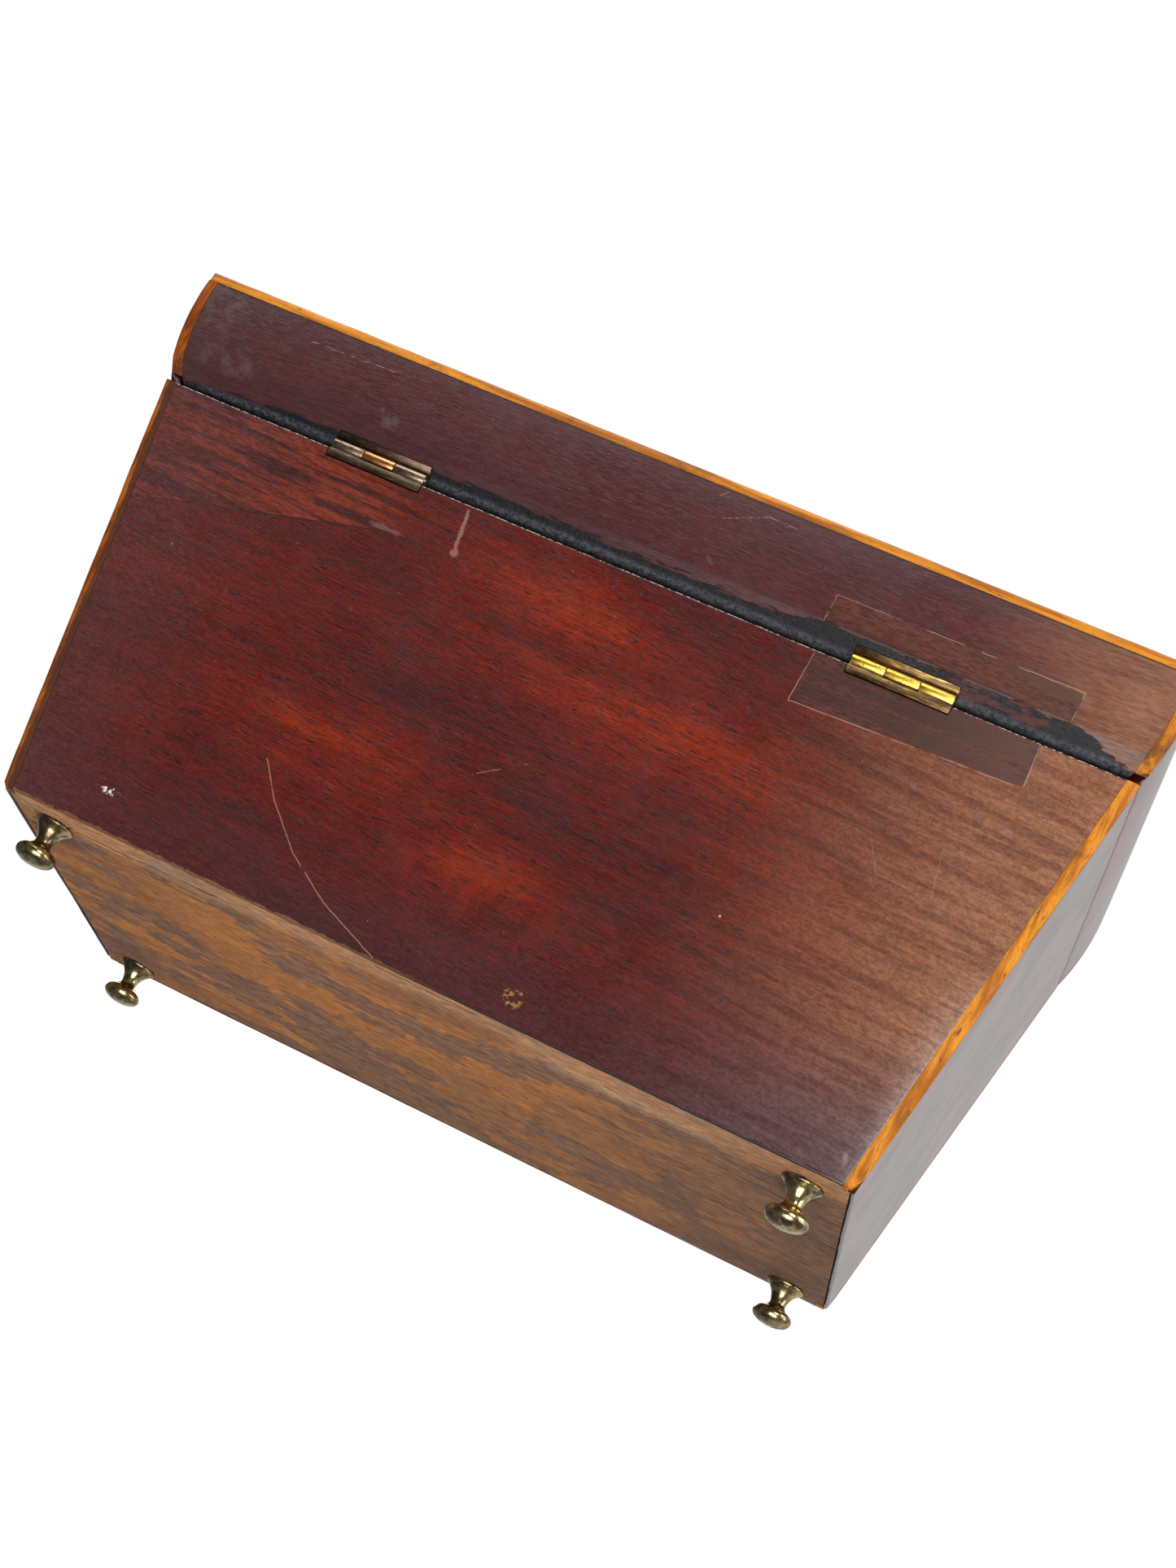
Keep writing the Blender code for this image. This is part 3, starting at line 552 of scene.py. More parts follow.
# Cracks in the underside, as (x, y) ends.
CRACKS = (
    ((-0.128, 0.030), (-0.085, 0.0325)),
    ((-0.128, 0.006), (-0.100, 0.005)),
    ((0.120, 0.056), (0.060, 0.058)),
    ((-0.020, 0.0640), (0.010, 0.0650)),
)


def wood_detail(look, axis, seed, tilt=0.0):
    """Figure, streaks, pores and fibres of a fine-grained wood, as fields from 0 to 1."""
    moved = look.vector("ADD", look.place, (seed, seed * 0.7, seed * 1.3))
    tilted = look.add("ShaderNodeVectorRotate", rotation_type="Y_AXIS")
    tilted.inputs["Angle"].default_value = tilt
    place = look.fed(tilted, 0, moved)
    bent = look.jitter(40 * MM, 1.2 * MM, place)
    wander = look.jitter(6 * MM, 0.25 * MM, place)
    return SimpleNamespace(
        figure=look.grain(95 * MM, 16 * MM, 4.0, 0.6, axis, bent),
        streak=look.grain(45 * MM, 2.6 * MM, 4.0, 0.62, axis, bent),
        pores=look.grain(4.2 * MM, 0.42 * MM, 2.0, 0.5, axis, wander),
        fibre=look.grain(7 * MM, 0.28 * MM, 3.0, 0.7, axis, wander),
        hatch=look.grain(2.8 * MM, 0.7 * MM, 3.0, 0.65, axis, wander),
        grit=look.noise(1100.0, 3.0, 0.65, place),
    )


def mahogany(look, wood, glow):
    """Paint dark to glowing red, with the wood's detail over it. Returns the pores' mask."""
    lift = wood.figure * 1.1 + wood.streak * 0.9 + wood.hatch * 0.6
    lift = lift + look.math("MULTIPLY", glow, 0.55)
    look.colour = look.mix(lift.remap(1.05, 1.50, smooth=False), DARK, RED)
    look.paint(lift.remap(1.50, 2.05), GLOW)
    pores = wood.pores.remap(0.56, 0.66)
    look.paint(pores * 0.75, (0.010, 0.0035, 0.0032))
    fine = wood.fibre * 0.7 + wood.grit * 0.3
    look.colour = look.scaled(look.colour, fine.remap(0.36, 0.64, 0.50, 1.55, smooth=False))
    return pores


def polished(look, wood, pores, relief=None, rough=(0.30, 0.44), **values):
    """Finish with old French polish: pores sink a little, the gloss is uneven."""
    look.emboss(wood.fibre * 0.35 - pores, 0.035 * MM)
    look.emboss(look.noise(420.0, 3.0, 0.6), 0.02 * MM)
    if relief is not None:
        look.emboss(*relief)
    return look.done(look.noise(55.0, 4.0, 0.6).remap(0.3, 0.7, *rough), **values)


def glow_mask(look, glows):
    """The red figure, with feathered edges."""
    return look.spots(glows, 0.9, look.jitter(22 * MM, 9 * MM))


def patch_lines(look, shaky, patch):
    """The knife lines round a let-in patch, filled with pale dirt."""
    return look.broken(look.path(patch, 0.16 * MM, shaky), 5 * MM, 0.12)


def back_look():
    look = Look("back_mahogany")
    wood = wood_detail(look, "X", 0.31, math.radians(2.5))
    pores = mahogany(look, wood, glow_mask(look, BACK_GLOWS))
    x, _, z = look.xyz()
    shaky = look.jitter(3 * MM, 0.2 * MM)
    lively = (wood.hatch * 0.7 + wood.grit * 0.6).remap(0.50, 0.80, 0.72, 1.28)

    upright = look.vector("MULTIPLY", look.place, (210.0, 1.0, 48.0))
    tongues = look.noise(1.0, 3.0, 0.5, upright, 0.6).remap(0.42, 0.66)
    look.paint(tongues * look.spot((-0.004, 0.042), (0.034, 0.012), 0.7) * 0.55, GLOW)
    pink_wedge(look, wood, shaky)

    look.paint(z.remap(0.045, 0.018) * 0.6, look.scaled((0.043, 0.014, 0.015), lively))
    look.paint(x.remap(0.078, 0.146) * 0.55, look.scaled((0.078, 0.031, 0.030), lively))
    # Painted reflection: a grey-brown haze over the back's left end, grey-lilac towards the bottom,
    # stands in for a window's gloss.
    painted_reflection_share = x.remap(-0.045, -0.150) * wood.streak.remap(0.38, 0.58, 0.62, 1.1)
    pale = look.mix(z.remap(0.018, 0.060), (0.095, 0.056, 0.056), PAINTED_REFLECTION_COLOUR)
    look.paint(painted_reflection_share, look.scaled(pale, lively))
    # Painted highlight: a pale grey band low on the rolled left corner.
    painted_highlight_share = x.remap(-0.120, -0.136) * z.remap(0.085, 0.030) * 0.30
    look.paint(painted_highlight_share, look.scaled((0.50, 0.46, 0.43), lively))

    look.paint(look.noise(30.0, 5.0, 0.65).remap(0.52, 0.72, 0.0, 0.3), (0.040, 0.014, 0.014))
    back_marks(look, shaky)
    back_edges(look, shaky)
    coat = x.remap(-0.10, -0.135) * z.remap(0.10, 0.03) * 0.7
    return polished(look, wood, pores, specular_ior_level=0.2, coat_weight=coat, coat_roughness=0.2)


def pink_wedge(look, wood, shaky):
    """A wedge of paler wood under the right hinge, with a dark seam below it."""
    start, end = WEDGE
    run = Vector((end[0] - start[0], 0, end[1] - start[1])).normalized()
    offset = look.vector("SUBTRACT", shaky, (start[0], 0.0, start[1]))
    above = look.vector("DOT_PRODUCT", offset, (run.z, 0.0, -run.x))
    inside = above.remap(-0.1 * MM, 0.25 * MM) * look.xyz()[0].remap(0.050, 0.085)
    pink = look.mix(wood.streak.remap(0.42, 0.56), (0.034, 0.010, 0.009), (0.170, 0.027, 0.011))
    look.paint(inside * 0.7, look.scaled(pink, wood.hatch.remap(0.35, 0.65, 0.65, 1.3)))
    seam = look.line(start, (end[0] + 0.01, end[1] - 0.003), 0.3 * MM, place=shaky)
    look.paint(seam * 0.7, (0.02, 0.006, 0.005))


def back_marks(look, shaky):
    """Scratches, filler, a scuff, a stain and the patch's lines."""
    scratch = look.broken(look.path(SCRATCH, 0.22 * MM, shaky), 4 * MM, 0.2)
    faint = look.line((0.0107, 0.0705), (-0.003, 0.0805), 0.14 * MM, place=shaky)
    look.paint(look.most((scratch, look.broken(faint, 3 * MM, 0.05))) * 0.65, (0.32, 0.14, 0.09))
    rough_edge = look.jitter(1.6 * MM, 0.6 * MM)
    filler = look.line((0.0484, 0.1400), (0.0462, 0.1270), 0.55 * MM, 0.5 * MM, rough_edge)
    knot = look.spot((0.0460, 0.1268), (1.5 * MM, 1.6 * MM), place=rough_edge)
    smear = look.spot((0.0675, 0.1256), (6.5 * MM, 1.0 * MM), place=look.jitter(4 * MM, 1.4 * MM))
    look.paint(look.most((filler, knot, smear * 0.5)) * 0.75, (0.22, 0.115, 0.085))
    scuff = look.spot((0.0985, 0.0240), (4 * MM, 1.1 * MM), place=look.jitter(1.5 * MM, 1.2 * MM))
    look.paint(look.broken(scuff, 1 * MM, 0.0), (0.62, 0.55, 0.55))
    stain = look.spot((-0.0275, 0.0200), (3.6 * MM, 3.4 * MM), place=look.jitter(3 * MM, 2.2 * MM))
    look.paint(look.broken(stain, 1.6 * MM, 0.02) * 0.8, (0.30, 0.155, 0.035))
    look.paint(patch_lines(look, shaky, BODY_PATCH) * 0.65, (0.34, 0.22, 0.17))


def back_edges(look, shaky):
    """The rubbed rim with a painted highlight on its arris, the chipped toe and the fine marks that lie
    over everything.
    """
    x, _, z = look.xyz()
    look.paint(z.remap(RIM.z - 0.7 * MM, RIM.z - 0.4 * MM) * 0.85, (0.030, 0.014, 0.012))
    # The pale broken line under the rim: bare wood rubbed through, with a painted highlight on the
    # arris.
    rubbed = z.remap(RIM.z - 0.42 * MM, RIM.z - 0.22 * MM)
    look.paint(look.broken(rubbed, 1.2 * MM, 0.06), (0.70, 0.60, 0.50))
    ragged = look.noise(330.0, 4.0, 0.7) * (2.4 * MM)
    chipped = (z + ragged).remap(TOE.z + 2.1 * MM, TOE.z + 1.6 * MM)
    frayed = look.mix(x.remap(-0.02, 0.03), (0.022, 0.011, 0.009), (0.17, 0.080, 0.038))
    look.paint(chipped * 0.85, frayed)
    smudge = look.spot((-0.1215, 0.0195), (1.3 * MM, 2.8 * MM), 0.8, look.jitter(2 * MM, 1.2 * MM))
    look.paint(smudge * 0.35, (0.33, 0.25, 0.26))
    hairs = look.most(look.path(hair, 0.07 * MM, shaky) for hair in HAIRS)
    look.paint(hairs * 0.3, (0.45, 0.34, 0.28))
    specks = look.most((look.dust(3.4 * MM, 0.14) * 0.45, look.dust(11 * MM, 0.08)))
    look.paint(specks * 0.8, (0.50, 0.38, 0.32))


def patch_look(name, seed, patch, dark):
    """A repair patch: darker, coarser wood than what surrounds it, with a dark gap round it and a
    painted reflection haze towards its left end.
    """
    look = Look(name)
    wood = wood_detail(look, "X", seed)
    pores = mahogany(look, wood, wood.figure.remap(0.45, 0.7, 0.0, 0.7))
    look.paint(dark, look.scaled((0.068, 0.027, 0.020), wood.hatch.remap(0.35, 0.65, 0.45, 1.55)))
    band = (wood.streak + wood.hatch * 0.4).remap(0.68, 0.80)
    look.paint(band * 0.75, (0.026, 0.012, 0.011))
    # Painted reflection: a grey-brown haze towards the left end, as on the back around the patch.
    painted_reflection_mask = look.xyz()[0].remap(-0.060, -0.150) * wood.streak.remap(0.38, 0.58, 0.15, 0.5)
    look.paint(painted_reflection_mask, (0.130, 0.070, 0.045))
    shaky = look.jitter(3 * MM, 0.3 * MM)
    gap = look.broken(look.path(patch, 0.38 * MM, shaky), 6 * MM, 0.10)
    look.paint(gap * 0.75, (0.018, 0.009, 0.008))
    look.paint(patch_lines(look, shaky, patch) * 0.45, (0.34, 0.23, 0.18))
    look.paint(look.dust(3.2 * MM, 0.2) * 0.5, (0.45, 0.34, 0.28))
    return polished(look, wood, pores, rough=(0.4, 0.55), specular_ior_level=0.2)


def bevel_mask(look):
    """1 on the ebonised bevel along the lid's lower back edge, and just past its upper arris."""
    x, y, z = look.xyz()
    beyond = y - z - (RIM.y - BEVEL - LID_LOW)
    ragged = look.grain(9 * MM, 1.5 * MM, 5.0, 0.7).remap(0.3, 0.7, -0.9 * MM, 0.9 * MM)
    top = x.remap(0.100, 0.152, LID_LOW + 5.4 * MM, LID_LOW + 2.6 * MM)
    top = top + x.remap(-0.044, -0.056, 0.0, 2.2 * MM) + x.remap(-0.126, -0.148, 0.0, -4.2 * MM)
    return beyond.remap(-1.2 * MM, -0.9 * MM) * (top + ragged - z).remap(-0.25 * MM, 0.3 * MM)


def lid_look(name, axis, seed, back=False):
    look = Look(name)
    wood = wood_detail(look, axis, seed, math.radians(-1.5))
    pores = mahogany(look, wood, glow_mask(look, LID_GLOWS) if back else 0.10)
    lively = (wood.hatch + wood.fibre).remap(0.75, 1.25, 0.72, 1.28)
    look.paint(0.7, look.scaled((0.054, 0.0195, 0.0215), lively))
    relief = None
    if back:
        lid_back_marks(look, wood, lively)
        relief = ebonised_bevel(look)
    return polished(look, wood, pores, relief, specular_ior_level=0.25)


def lid_back_marks(look, wood, lively):
    """The rubbed right end, the left one hazed with a painted reflection, painted shade along the join
    under the top strip, knife lines, nicks and specks.
    """
    x, _, z = look.xyz()
    rubbed = look.spots(LID_RUBS, place=look.jitter(9 * MM, 6 * MM))
    cloud = look.noise(260.0, 5.0, 0.7).remap(0.42, 0.62)
    look.paint(rubbed * cloud * 0.38, (0.20, 0.165, 0.16))
    look.paint(x.remap(0.110, 0.156) * cloud.remap(0.0, 1.0, 0.3, 0.7), (0.058, 0.034, 0.032))
    # Painted reflection: a grey-brown haze over the lid's left end.
    painted_reflection_mask = x.remap(-0.085, -0.157) * wood.streak.remap(0.38, 0.58, 0.55, 0.95)
    look.paint(painted_reflection_mask, look.scaled(PAINTED_REFLECTION_COLOUR, lively))
    # Painted shade: a dark line along the join under the top strip.
    look.paint(z.remap(RAIL_HIGH - 0.8 * MM, RAIL_HIGH - 0.2 * MM) * 0.7, (0.012, 0.006, 0.006))
    deep = x.remap(-0.128, -0.124) * x.remap(-0.052, -0.057) * z.remap(0.1512, 0.1500)
    look.paint(deep * 0.7, (0.075, 0.036, 0.032))
    shaky = look.jitter(3 * MM, 0.3 * MM)
    nicks = look.most(look.line(a, b, width, place=shaky) for a, b, width in LID_NICKS)
    nicks = look.broken(nicks, 2 * MM, 0.08) * 0.55
    look.paint(look.most((nicks, patch_lines(look, shaky, LID_PATCH) * 0.6)), (0.36, 0.24, 0.19))
    look.paint(look.dust(11 * MM, 0.08) * 0.6, SPECK)


def ebonised_bevel(look):
    """Paint the black bevel, creased like leather, with a worn red part and a painted highlight along
    its middle. Returns its relief.
    """
    black = bevel_mask(look)
    mottle = look.grain(7 * MM, 1.6 * MM, 4.0, 0.7).remap(0.47, 0.58)
    worn = look.spot((-0.108, LID_LOW + 6 * MM), (0.018, 3.8 * MM), 0.3) * mottle
    leather = look.mix(worn * 0.8, (0.0040, 0.0045, 0.0065), (0.090, 0.020, 0.014))
    creases = look.grain(1.3 * MM, 0.9 * MM, 5.0, 0.7)
    # Painted highlight: a blue-grey band along the bevel's middle, broken by the creases.
    crest = look.blob((0.0, 0.0, LID_LOW + 2.9 * MM), (10.0, 10.0, 1.5 * MM), 0.9)
    leather = look.mix(crest * creases.remap(0.32, 0.66) * 0.85, leather, (0.085, 0.092, 0.112))
    look.paint(black, leather)
    return creases * black, 0.22 * MM


def end_look(name, seed):
    look = Look(name)
    wood = wood_detail(look, "Y", seed)
    mahogany(look, wood, wood.figure.remap(0.4, 0.75, 0.0, 0.8))
    worn = look.noise(35.0, 5.0, 0.65)
    look.paint(worn.remap(0.5, 0.75, 0.0, 0.5), (0.030, 0.011, 0.010))
    toe = (look.xyz()[2] + worn * 0.004).remap(TOE.z + 6 * MM, TOE.z + 2 * MM)
    look.paint(toe * 0.8, (0.014, 0.007, 0.006))
    look.paint(look.dust(10 * MM, 0.10) * 0.7, SPECK)
    look.emboss(look.noise(26.0, 3.0, 0.5).remap(0.3, 0.7), 0.12 * MM)
    return look.done(worn.remap(0.35, 0.70, 0.25, 0.33), coat_weight=0.6, coat_roughness=0.16)


def front_look():
    look = Look("front_mahogany")
    wood = wood_detail(look, "X", 1.9)
    pores = mahogany(look, wood, glow_mask(look, FRONT_GLOWS))
    look.paint(look.noise(30.0, 5.0, 0.65).remap(0.52, 0.75, 0.0, 0.4), (0.026, 0.010, 0.010))
    look.paint(look.dust(10 * MM, 0.08) * 0.7, SPECK)
    return polished(look, wood, pores, rough=(0.22, 0.36), coat_weight=0.5, coat_roughness=0.15)


def boxwood_look(name, axis, seed, dirt, edge=None, tone=(1.0, 1.0, 1.0)):
    """Amber boxwood with darker flecks, dirty where hands and dust have been."""
    look = Look(name)
    place = look.vector("ADD", look.place, (seed, seed, seed))
    band = look.grain(38 * MM, 2.2 * MM, 4.0, 0.6, axis, place)
    look.colour = look.mix(band.remap(0.38, 0.62), (0.270, 0.078, 0.004), (0.540, 0.195, 0.010))
    hairs = look.grain(9 * MM, 0.22 * MM, 3.0, 0.65, axis, place)
    look.paint(hairs.remap(0.54, 0.66, 0.0, 0.65), (0.170, 0.048, 0.006))
    flecks = look.grain(4.5 * MM, 0.8 * MM, 2.0, 0.5, axis, place)
    look.paint(flecks.remap(0.66, 0.74, 0.0, 0.85), (0.050, 0.020, 0.008))
    grime = look.noise(70.0, 5.0, 0.7, place)
    look.paint(grime.remap(0.60 - dirt, 0.80 - dirt, 0.0, 0.8), (0.085, 0.034, 0.018))
    look.colour = look.vector("MULTIPLY", look.colour, tone)
    if edge is not None:
        look.paint(edge(look), (0.050, 0.022, 0.014))
    look.emboss(hairs * -0.5 - flecks.remap(0.64, 0.74), 0.05 * MM)
    look.emboss(look.noise(380.0, 3.0, 0.6), 0.03 * MM)
    return look.done(grime.remap(0.3, 0.7, 0.34, 0.55), specular_ior_level=0.12)


def inner_edge(look):
    """The dirty inner edge of the back's right strip, away from its rubbed corner."""
    x, _, z = look.xyz()
    depth = (z - TOE.z) * ((RIM.x - BASE_X) / (RIM.z - TOE.z)) + BASE_X - x
    ragged = look.noise(110.0, 4.0, 0.65) * (2.2 * MM)
    return (depth + ragged).remap(2.6 * MM, 3.1 * MM) * 0.85


def bottom_look():
    """Bare weathered wood: orange-brown where it was handled, grey-purple where dirt stayed."""
    look = Look("bare_underside")
    x, y, _ = look.xyz()
    bent = look.jitter(35 * MM, 3 * MM)
    flaky = look.jitter(6 * MM, 2.2 * MM, bent)
    broad = look.grain(60 * MM, 18 * MM, 6.0, 0.68, place=bent)
    cloud = look.grain(48 * MM, 17 * MM, 4.0, 0.55, place=flaky)
    flakes = look.grain(9 * MM, 3.2 * MM, 6.0, 0.7, place=flaky)
    streak = look.grain(30 * MM, 1.5 * MM, 5.0, 0.7, place=bent)
    fibre = look.grain(4 * MM, 0.5 * MM, 4.0, 0.7, place=look.jitter(5 * MM, 0.3 * MM))
    look.colour = look.mix(broad.remap(0.38, 0.62), (0.265, 0.115, 0.052), (0.480, 0.190, 0.052))
    centre = look.blob((0.030, 0.012, TOE.z), (0.10, 0.045, 1.0), 0.8, look.jitter(30 * MM, 14 * MM))
    look.paint(centre * 0.5, (0.500, 0.185, 0.046))

    far = (y + broad * 0.05).remap(0.030, -0.020)
    worn = cloud * 0.7 + flakes * 0.3 + far.remap(0.0, 1.0, 0.0, 0.035)
    grey = look.mix(streak.remap(0.42, 0.58), (0.105, 0.070, 0.064), (0.230, 0.145, 0.105))
    look.paint(worn.remap(0.515, 0.540, 0.0, 0.75), grey)
    band = (y + broad * 0.016).remap(0.058, 0.070) * streak.remap(0.25, 0.6, 0.35, 1.0)
    look.paint(band * 0.6, (0.560, 0.310, 0.170))
    wisp = look.blob((-0.065, 0.052, TOE.z), (0.05, 0.007, 1.0), 0.9, look.jitter(16 * MM, 4 * MM))
    look.paint(wisp * streak * 0.9, (0.66, 0.42, 0.26))
    dirty = x.remap(-0.035, -0.120) * y.remap(0.062, 0.035, 0.25, 1.0)
    look.paint(dirty * flakes.remap(0.38, 0.60, 0.55, 0.95), (0.155, 0.092, 0.062))
    dark = streak.remap(0.56, 0.66) * cloud.remap(0.35, 0.6)
    look.paint(dark * 0.7, (0.090, 0.046, 0.032))

    shaky = look.jitter(8 * MM, 1.6 * MM)
    cracks = look.most(look.crack(start, end, shaky) for start, end in CRACKS)
    look.paint(cracks * 0.85, (0.018, 0.010, 0.008))
    look.colour = look.scaled(look.colour, fibre.remap(0.38, 0.62, 0.55, 1.45, smooth=False))
    look.emboss(fibre + streak, 0.25 * MM)
    look.emboss(cracks * -1.0, 0.3 * MM)
    return look.done(cloud.remap(0.3, 0.7, 0.62, 0.85), specular_ior_level=0.15)


def dimmed(colour, factor):
    return tuple(factor * c for c in colour)


def plain_wood_look(name, axis, dark, light):
    """Planed, unpolished wood."""
    look = Look(name)
    bent = look.jitter(40 * MM, 2.5 * MM)
    broad = look.grain(90 * MM, 12 * MM, 4.0, 0.6, axis, bent)
    streak = look.grain(60 * MM, 1.6 * MM, 4.0, 0.65, axis, bent)
    fibre = look.grain(5 * MM, 0.25 * MM, 3.0, 0.7, axis)
    look.colour = look.mix((broad * 0.6 + streak * 0.5).remap(0.35, 0.75), dark, light)
    look.paint(fibre.remap(0.55, 0.75, 0.0, 0.5), dimmed(dark, 0.45))
    look.paint(look.noise(24.0, 5.0, 0.65).remap(0.55, 0.75, 0.0, 0.45), dimmed(dark, 0.5))
    look.emboss(fibre + streak, 0.07 * MM)
    return look.done(fibre.remap(0.3, 0.7, 0.6, 0.8))


def tarnish(look, broad_scale, share):
    """Fine patina, its mix with a broader one, and a mask of the share that is dull."""
    patina = look.noise(420.0, 5.0, 0.7, warp=0.4)
    mixed = patina * 0.55 + look.noise(broad_scale, 3.0, 0.6) * 0.45
    return patina, mixed, mixed.remap(0.62 - 0.25 * share, 0.74 - 0.25 * share)


def metal_look(name, bright, dull, share, rough, grain=None):
    """Old metal: bright where it is rubbed, dull and dark where dirt has stayed."""
    look = Look(name)
    patina, mixed, mask = tarnish(look, 110.0, share)
    look.colour = look.mix(mask, bright, dull)
    look.paint(look.noise(900.0, 3.0, 0.6).remap(0.62, 0.70) * 0.6, dimmed(dull, 0.25))
    relief = patina * 0.6
    if grain is not None:
        relief = relief + look.grain(4 * MM, 0.12 * MM, 2.0, axis=grain)
    look.emboss(relief, 0.03 * MM)
    return look.done(mixed.remap(0.35, 0.7, *rough), metallic=1.0)


def hinge_look(name, bright, dull, share, side, orange=None):
    """A hinge's brass, darker in the corners, with an odd-coloured middle knuckle if asked."""
    look = Look(name)
    patina, mixed, mask = tarnish(look, 120.0, share)
    streaks = look.grain(5 * MM, 0.35 * MM, 4.0, 0.7)
    low, high = box(f"{side}_hinge_pin")
    away = look.vector("SUBTRACT", look.place, tuple((low + high) / 2))
    ring = look.vector("LENGTH", look.vector("MULTIPLY", away, (0.0, 1.0, 1.0)))
    look.colour = look.mix(streaks.remap(0.45, 0.62), (0.085, 0.060, 0.038), dull)
    look.paint(streaks.remap(0.60, 0.68, 0.0, 0.7), bright)
    look.paint(ring.remap(1.95 * MM, 1.8 * MM), look.mix(mask, bright, dull))
    if orange is not None:
        near = look.math("ABSOLUTE", look.xyz(away)[0]).remap(5.1 * MM, 4.9 * MM)
        knuckle = near * ring.remap(2.0 * MM, 1.8 * MM)
        look.paint(knuckle * patina.remap(0.2, 0.5, 0.6, 1.0), orange)
    groove = ring.remap(1.75 * MM, 2.1 * MM) * ring.remap(3.1 * MM, 2.3 * MM)
    look.paint(groove * patina.remap(0.3, 0.6, 0.3, 0.9), (0.03, 0.02, 0.01))
    look.paint(look.noise(900.0, 3.0, 0.6).remap(0.60, 0.68) * 0.7, (0.05, 0.03, 0.012))
    look.emboss(patina * 0.6 + look.grain(4 * MM, 0.12 * MM, 2.0), 0.03 * MM)
    return look.done(mixed.remap(0.35, 0.7, 0.25, 0.5), metallic=1.0)


def glass_look():
    look = Look("bowl_glass")
    look.colour = look.mix(look.noise(60.0, 3.0, 0.6), (0.90, 0.96, 0.95), (0.96, 0.99, 0.98))
    look.emboss(look.noise(45.0, 2.0, 0.5), 0.08 * MM)
    scuffs = look.noise(700.0, 3.0, 0.6).remap(0.60, 0.75, 0.015, 0.14)
    return look.done(scuffs, transmission_weight=1.0, ior=1.5)


def bone_look():
    look = Look("turned_bone")
    rings = look.grain(6 * MM, 0.7 * MM, 3.0, 0.6, "Z")
    look.colour = look.mix(rings, (0.62, 0.50, 0.32), (0.82, 0.74, 0.58))
    flecks = look.grain(1.6 * MM, 0.16 * MM, 2.0, axis="Z").remap(0.62, 0.70)
    look.paint(flecks * 0.7, (0.20, 0.12, 0.06))
    look.emboss(flecks, -0.03 * MM)
    return look.done(rings.remap(0.3, 0.7, 0.28, 0.42), coat_weight=0.2)


def paper_look():
    look = Look("lining_paper")
    marble = look.noise(90.0, 5.0, 0.62, warp=0.8)
    look.colour = look.mix(marble.remap(0.38, 0.62), (0.17, 0.055, 0.040), (0.36, 0.165, 0.125))
    look.paint(look.noise(36.0, 4.0, 0.65).remap(0.57, 0.72) * 0.6, (0.14, 0.07, 0.035))
    fibres = look.noise(1500.0, 3.0, 0.7)
    look.emboss(fibres, 0.05 * MM)
    look.emboss(look.noise(30.0, 3.0, 0.6), 0.3 * MM)
    return look.done(fibres.remap(0.3, 0.7, 0.8, 0.95), specular_ior_level=0.2)


# ---------------------------------------------------------------- pieces


def placed(piece, body, slot, *nodes):
    """Attach a finished piece to the body it rides on and hide the nodes it stands for. The slot
    argument is not used.
    """
    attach(piece, body)
    if nodes:
        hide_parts(*nodes)
    return piece


def refined(node, material, bevel=0.2 * MM, angle=32):
    """A copy of a CAD node's mesh, its edges eased and its round faces smooth."""
    bm = bmesh.new()
    bm.from_mesh(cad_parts[node].data)
    bmesh.ops.remove_doubles(bm, verts=bm.verts, dist=1e-6)
    bmesh.ops.dissolve_limit(bm, angle_limit=math.radians(0.5), verts=bm.verts, edges=bm.edges)
    piece = finished(f"{node}_worn", bm, material, angle)
    easing = piece.modifiers.new("easing", "BEVEL")
    easing.width = bevel
    easing.segments = 2
    easing.limit_method = "ANGLE"
    easing.angle_limit = math.radians(angle)
    applied(piece)
    piece.data.shade_smooth()
    piece.data.set_sharp_from_angle(angle=math.radians(50))
    return piece


def leaf_notch(x, z):
    """True where a hinge's lower leaf is let into the back."""
    for side in SIDES:
        low, high = box(f"{side}_hinge_lower_leaf")
        if low.x - GAP < x < high.x + GAP and z > low.z - GAP:
            return True
    return False


def notch_edges():
    low_z = box("left_hinge_lower_leaf")[0].z - GAP
    edges = []
    for side in SIDES:
        low, high = box(f"{side}_hinge_lower_leaf")
        edges += [low.x - GAP, high.x + GAP]
    return edges, low_z


def keyhole_bed(x, z):
    """True well inside the keyhole plate's diamond, which hides the opening's edge."""
    low, high = box("keyhole_plate")
    centre, half = (low + high) / 2, (high - low) / 2
    return abs(x - centre.x) / half.x + abs(z - centre.z) / half.z < 0.62


def body_veneer(face, material, step=1.6 * MM):
    """One side's veneer, from strip to strip, down to the rubbed toe."""
    half = face.halves(RIM.z - 1.5 * MM)[0] - STRIP
    edges, low_z = notch_edges()
    back = face.name == "back"
    extra = tuple(-x for x in edges) if back else ()
    shares = [u / half for u in stations(-half, half, step, EDGE[:4], extra)]
    heights = stations(TOE.z, RIM.z, step, EDGE[:6], (low_z,) if back else ())
    seed = FACE_SEED[face.name]

    def point(share, z):
        width = face.halves(z)[0] - STRIP
        u = share * width
        sink = face_sink(face, u, z) + toe_sink(u, z, seed) + arris(width - abs(u), 0.18 * MM)
        sink += arris(RIM.z - z, 0.4 * MM + wobble(u, z, seed, 6 * MM, 0.35 * MM))
        return face.point(u, z, sink)

    def keep(share, z):
        if face.name == "front":
            return not keyhole_bed(share * half, z)
        return not (back and leaf_notch(-share * half, z))

    return sheet(f"{face.name}_face", shares, heights, point, VENEER, material, keep)


def strip_section(width, radius, steps=5):
    """(inset, inset) points round a strip set in a corner, its outer arris rounded."""
    arc = []
    for k in range(steps + 1):
        angle = math.pi / 2 * k / steps
        arc.append((radius * (1 - math.sin(angle)), radius * (1 - math.cos(angle))))
    return [(width, 0.0)] + arc + [(0.0, width), (width, width)]


def bevel_height(inset):
    """The height at which the lid's bevel reaches an inset from the back."""
    a = SWELL / SWELL_AT ** 2
    b = 1 - 2 * SWELL / SWELL_AT
    return LID_LOW + (math.sqrt(b * b + 4 * a * (BEVEL - inset)) - b) / (2 * a)


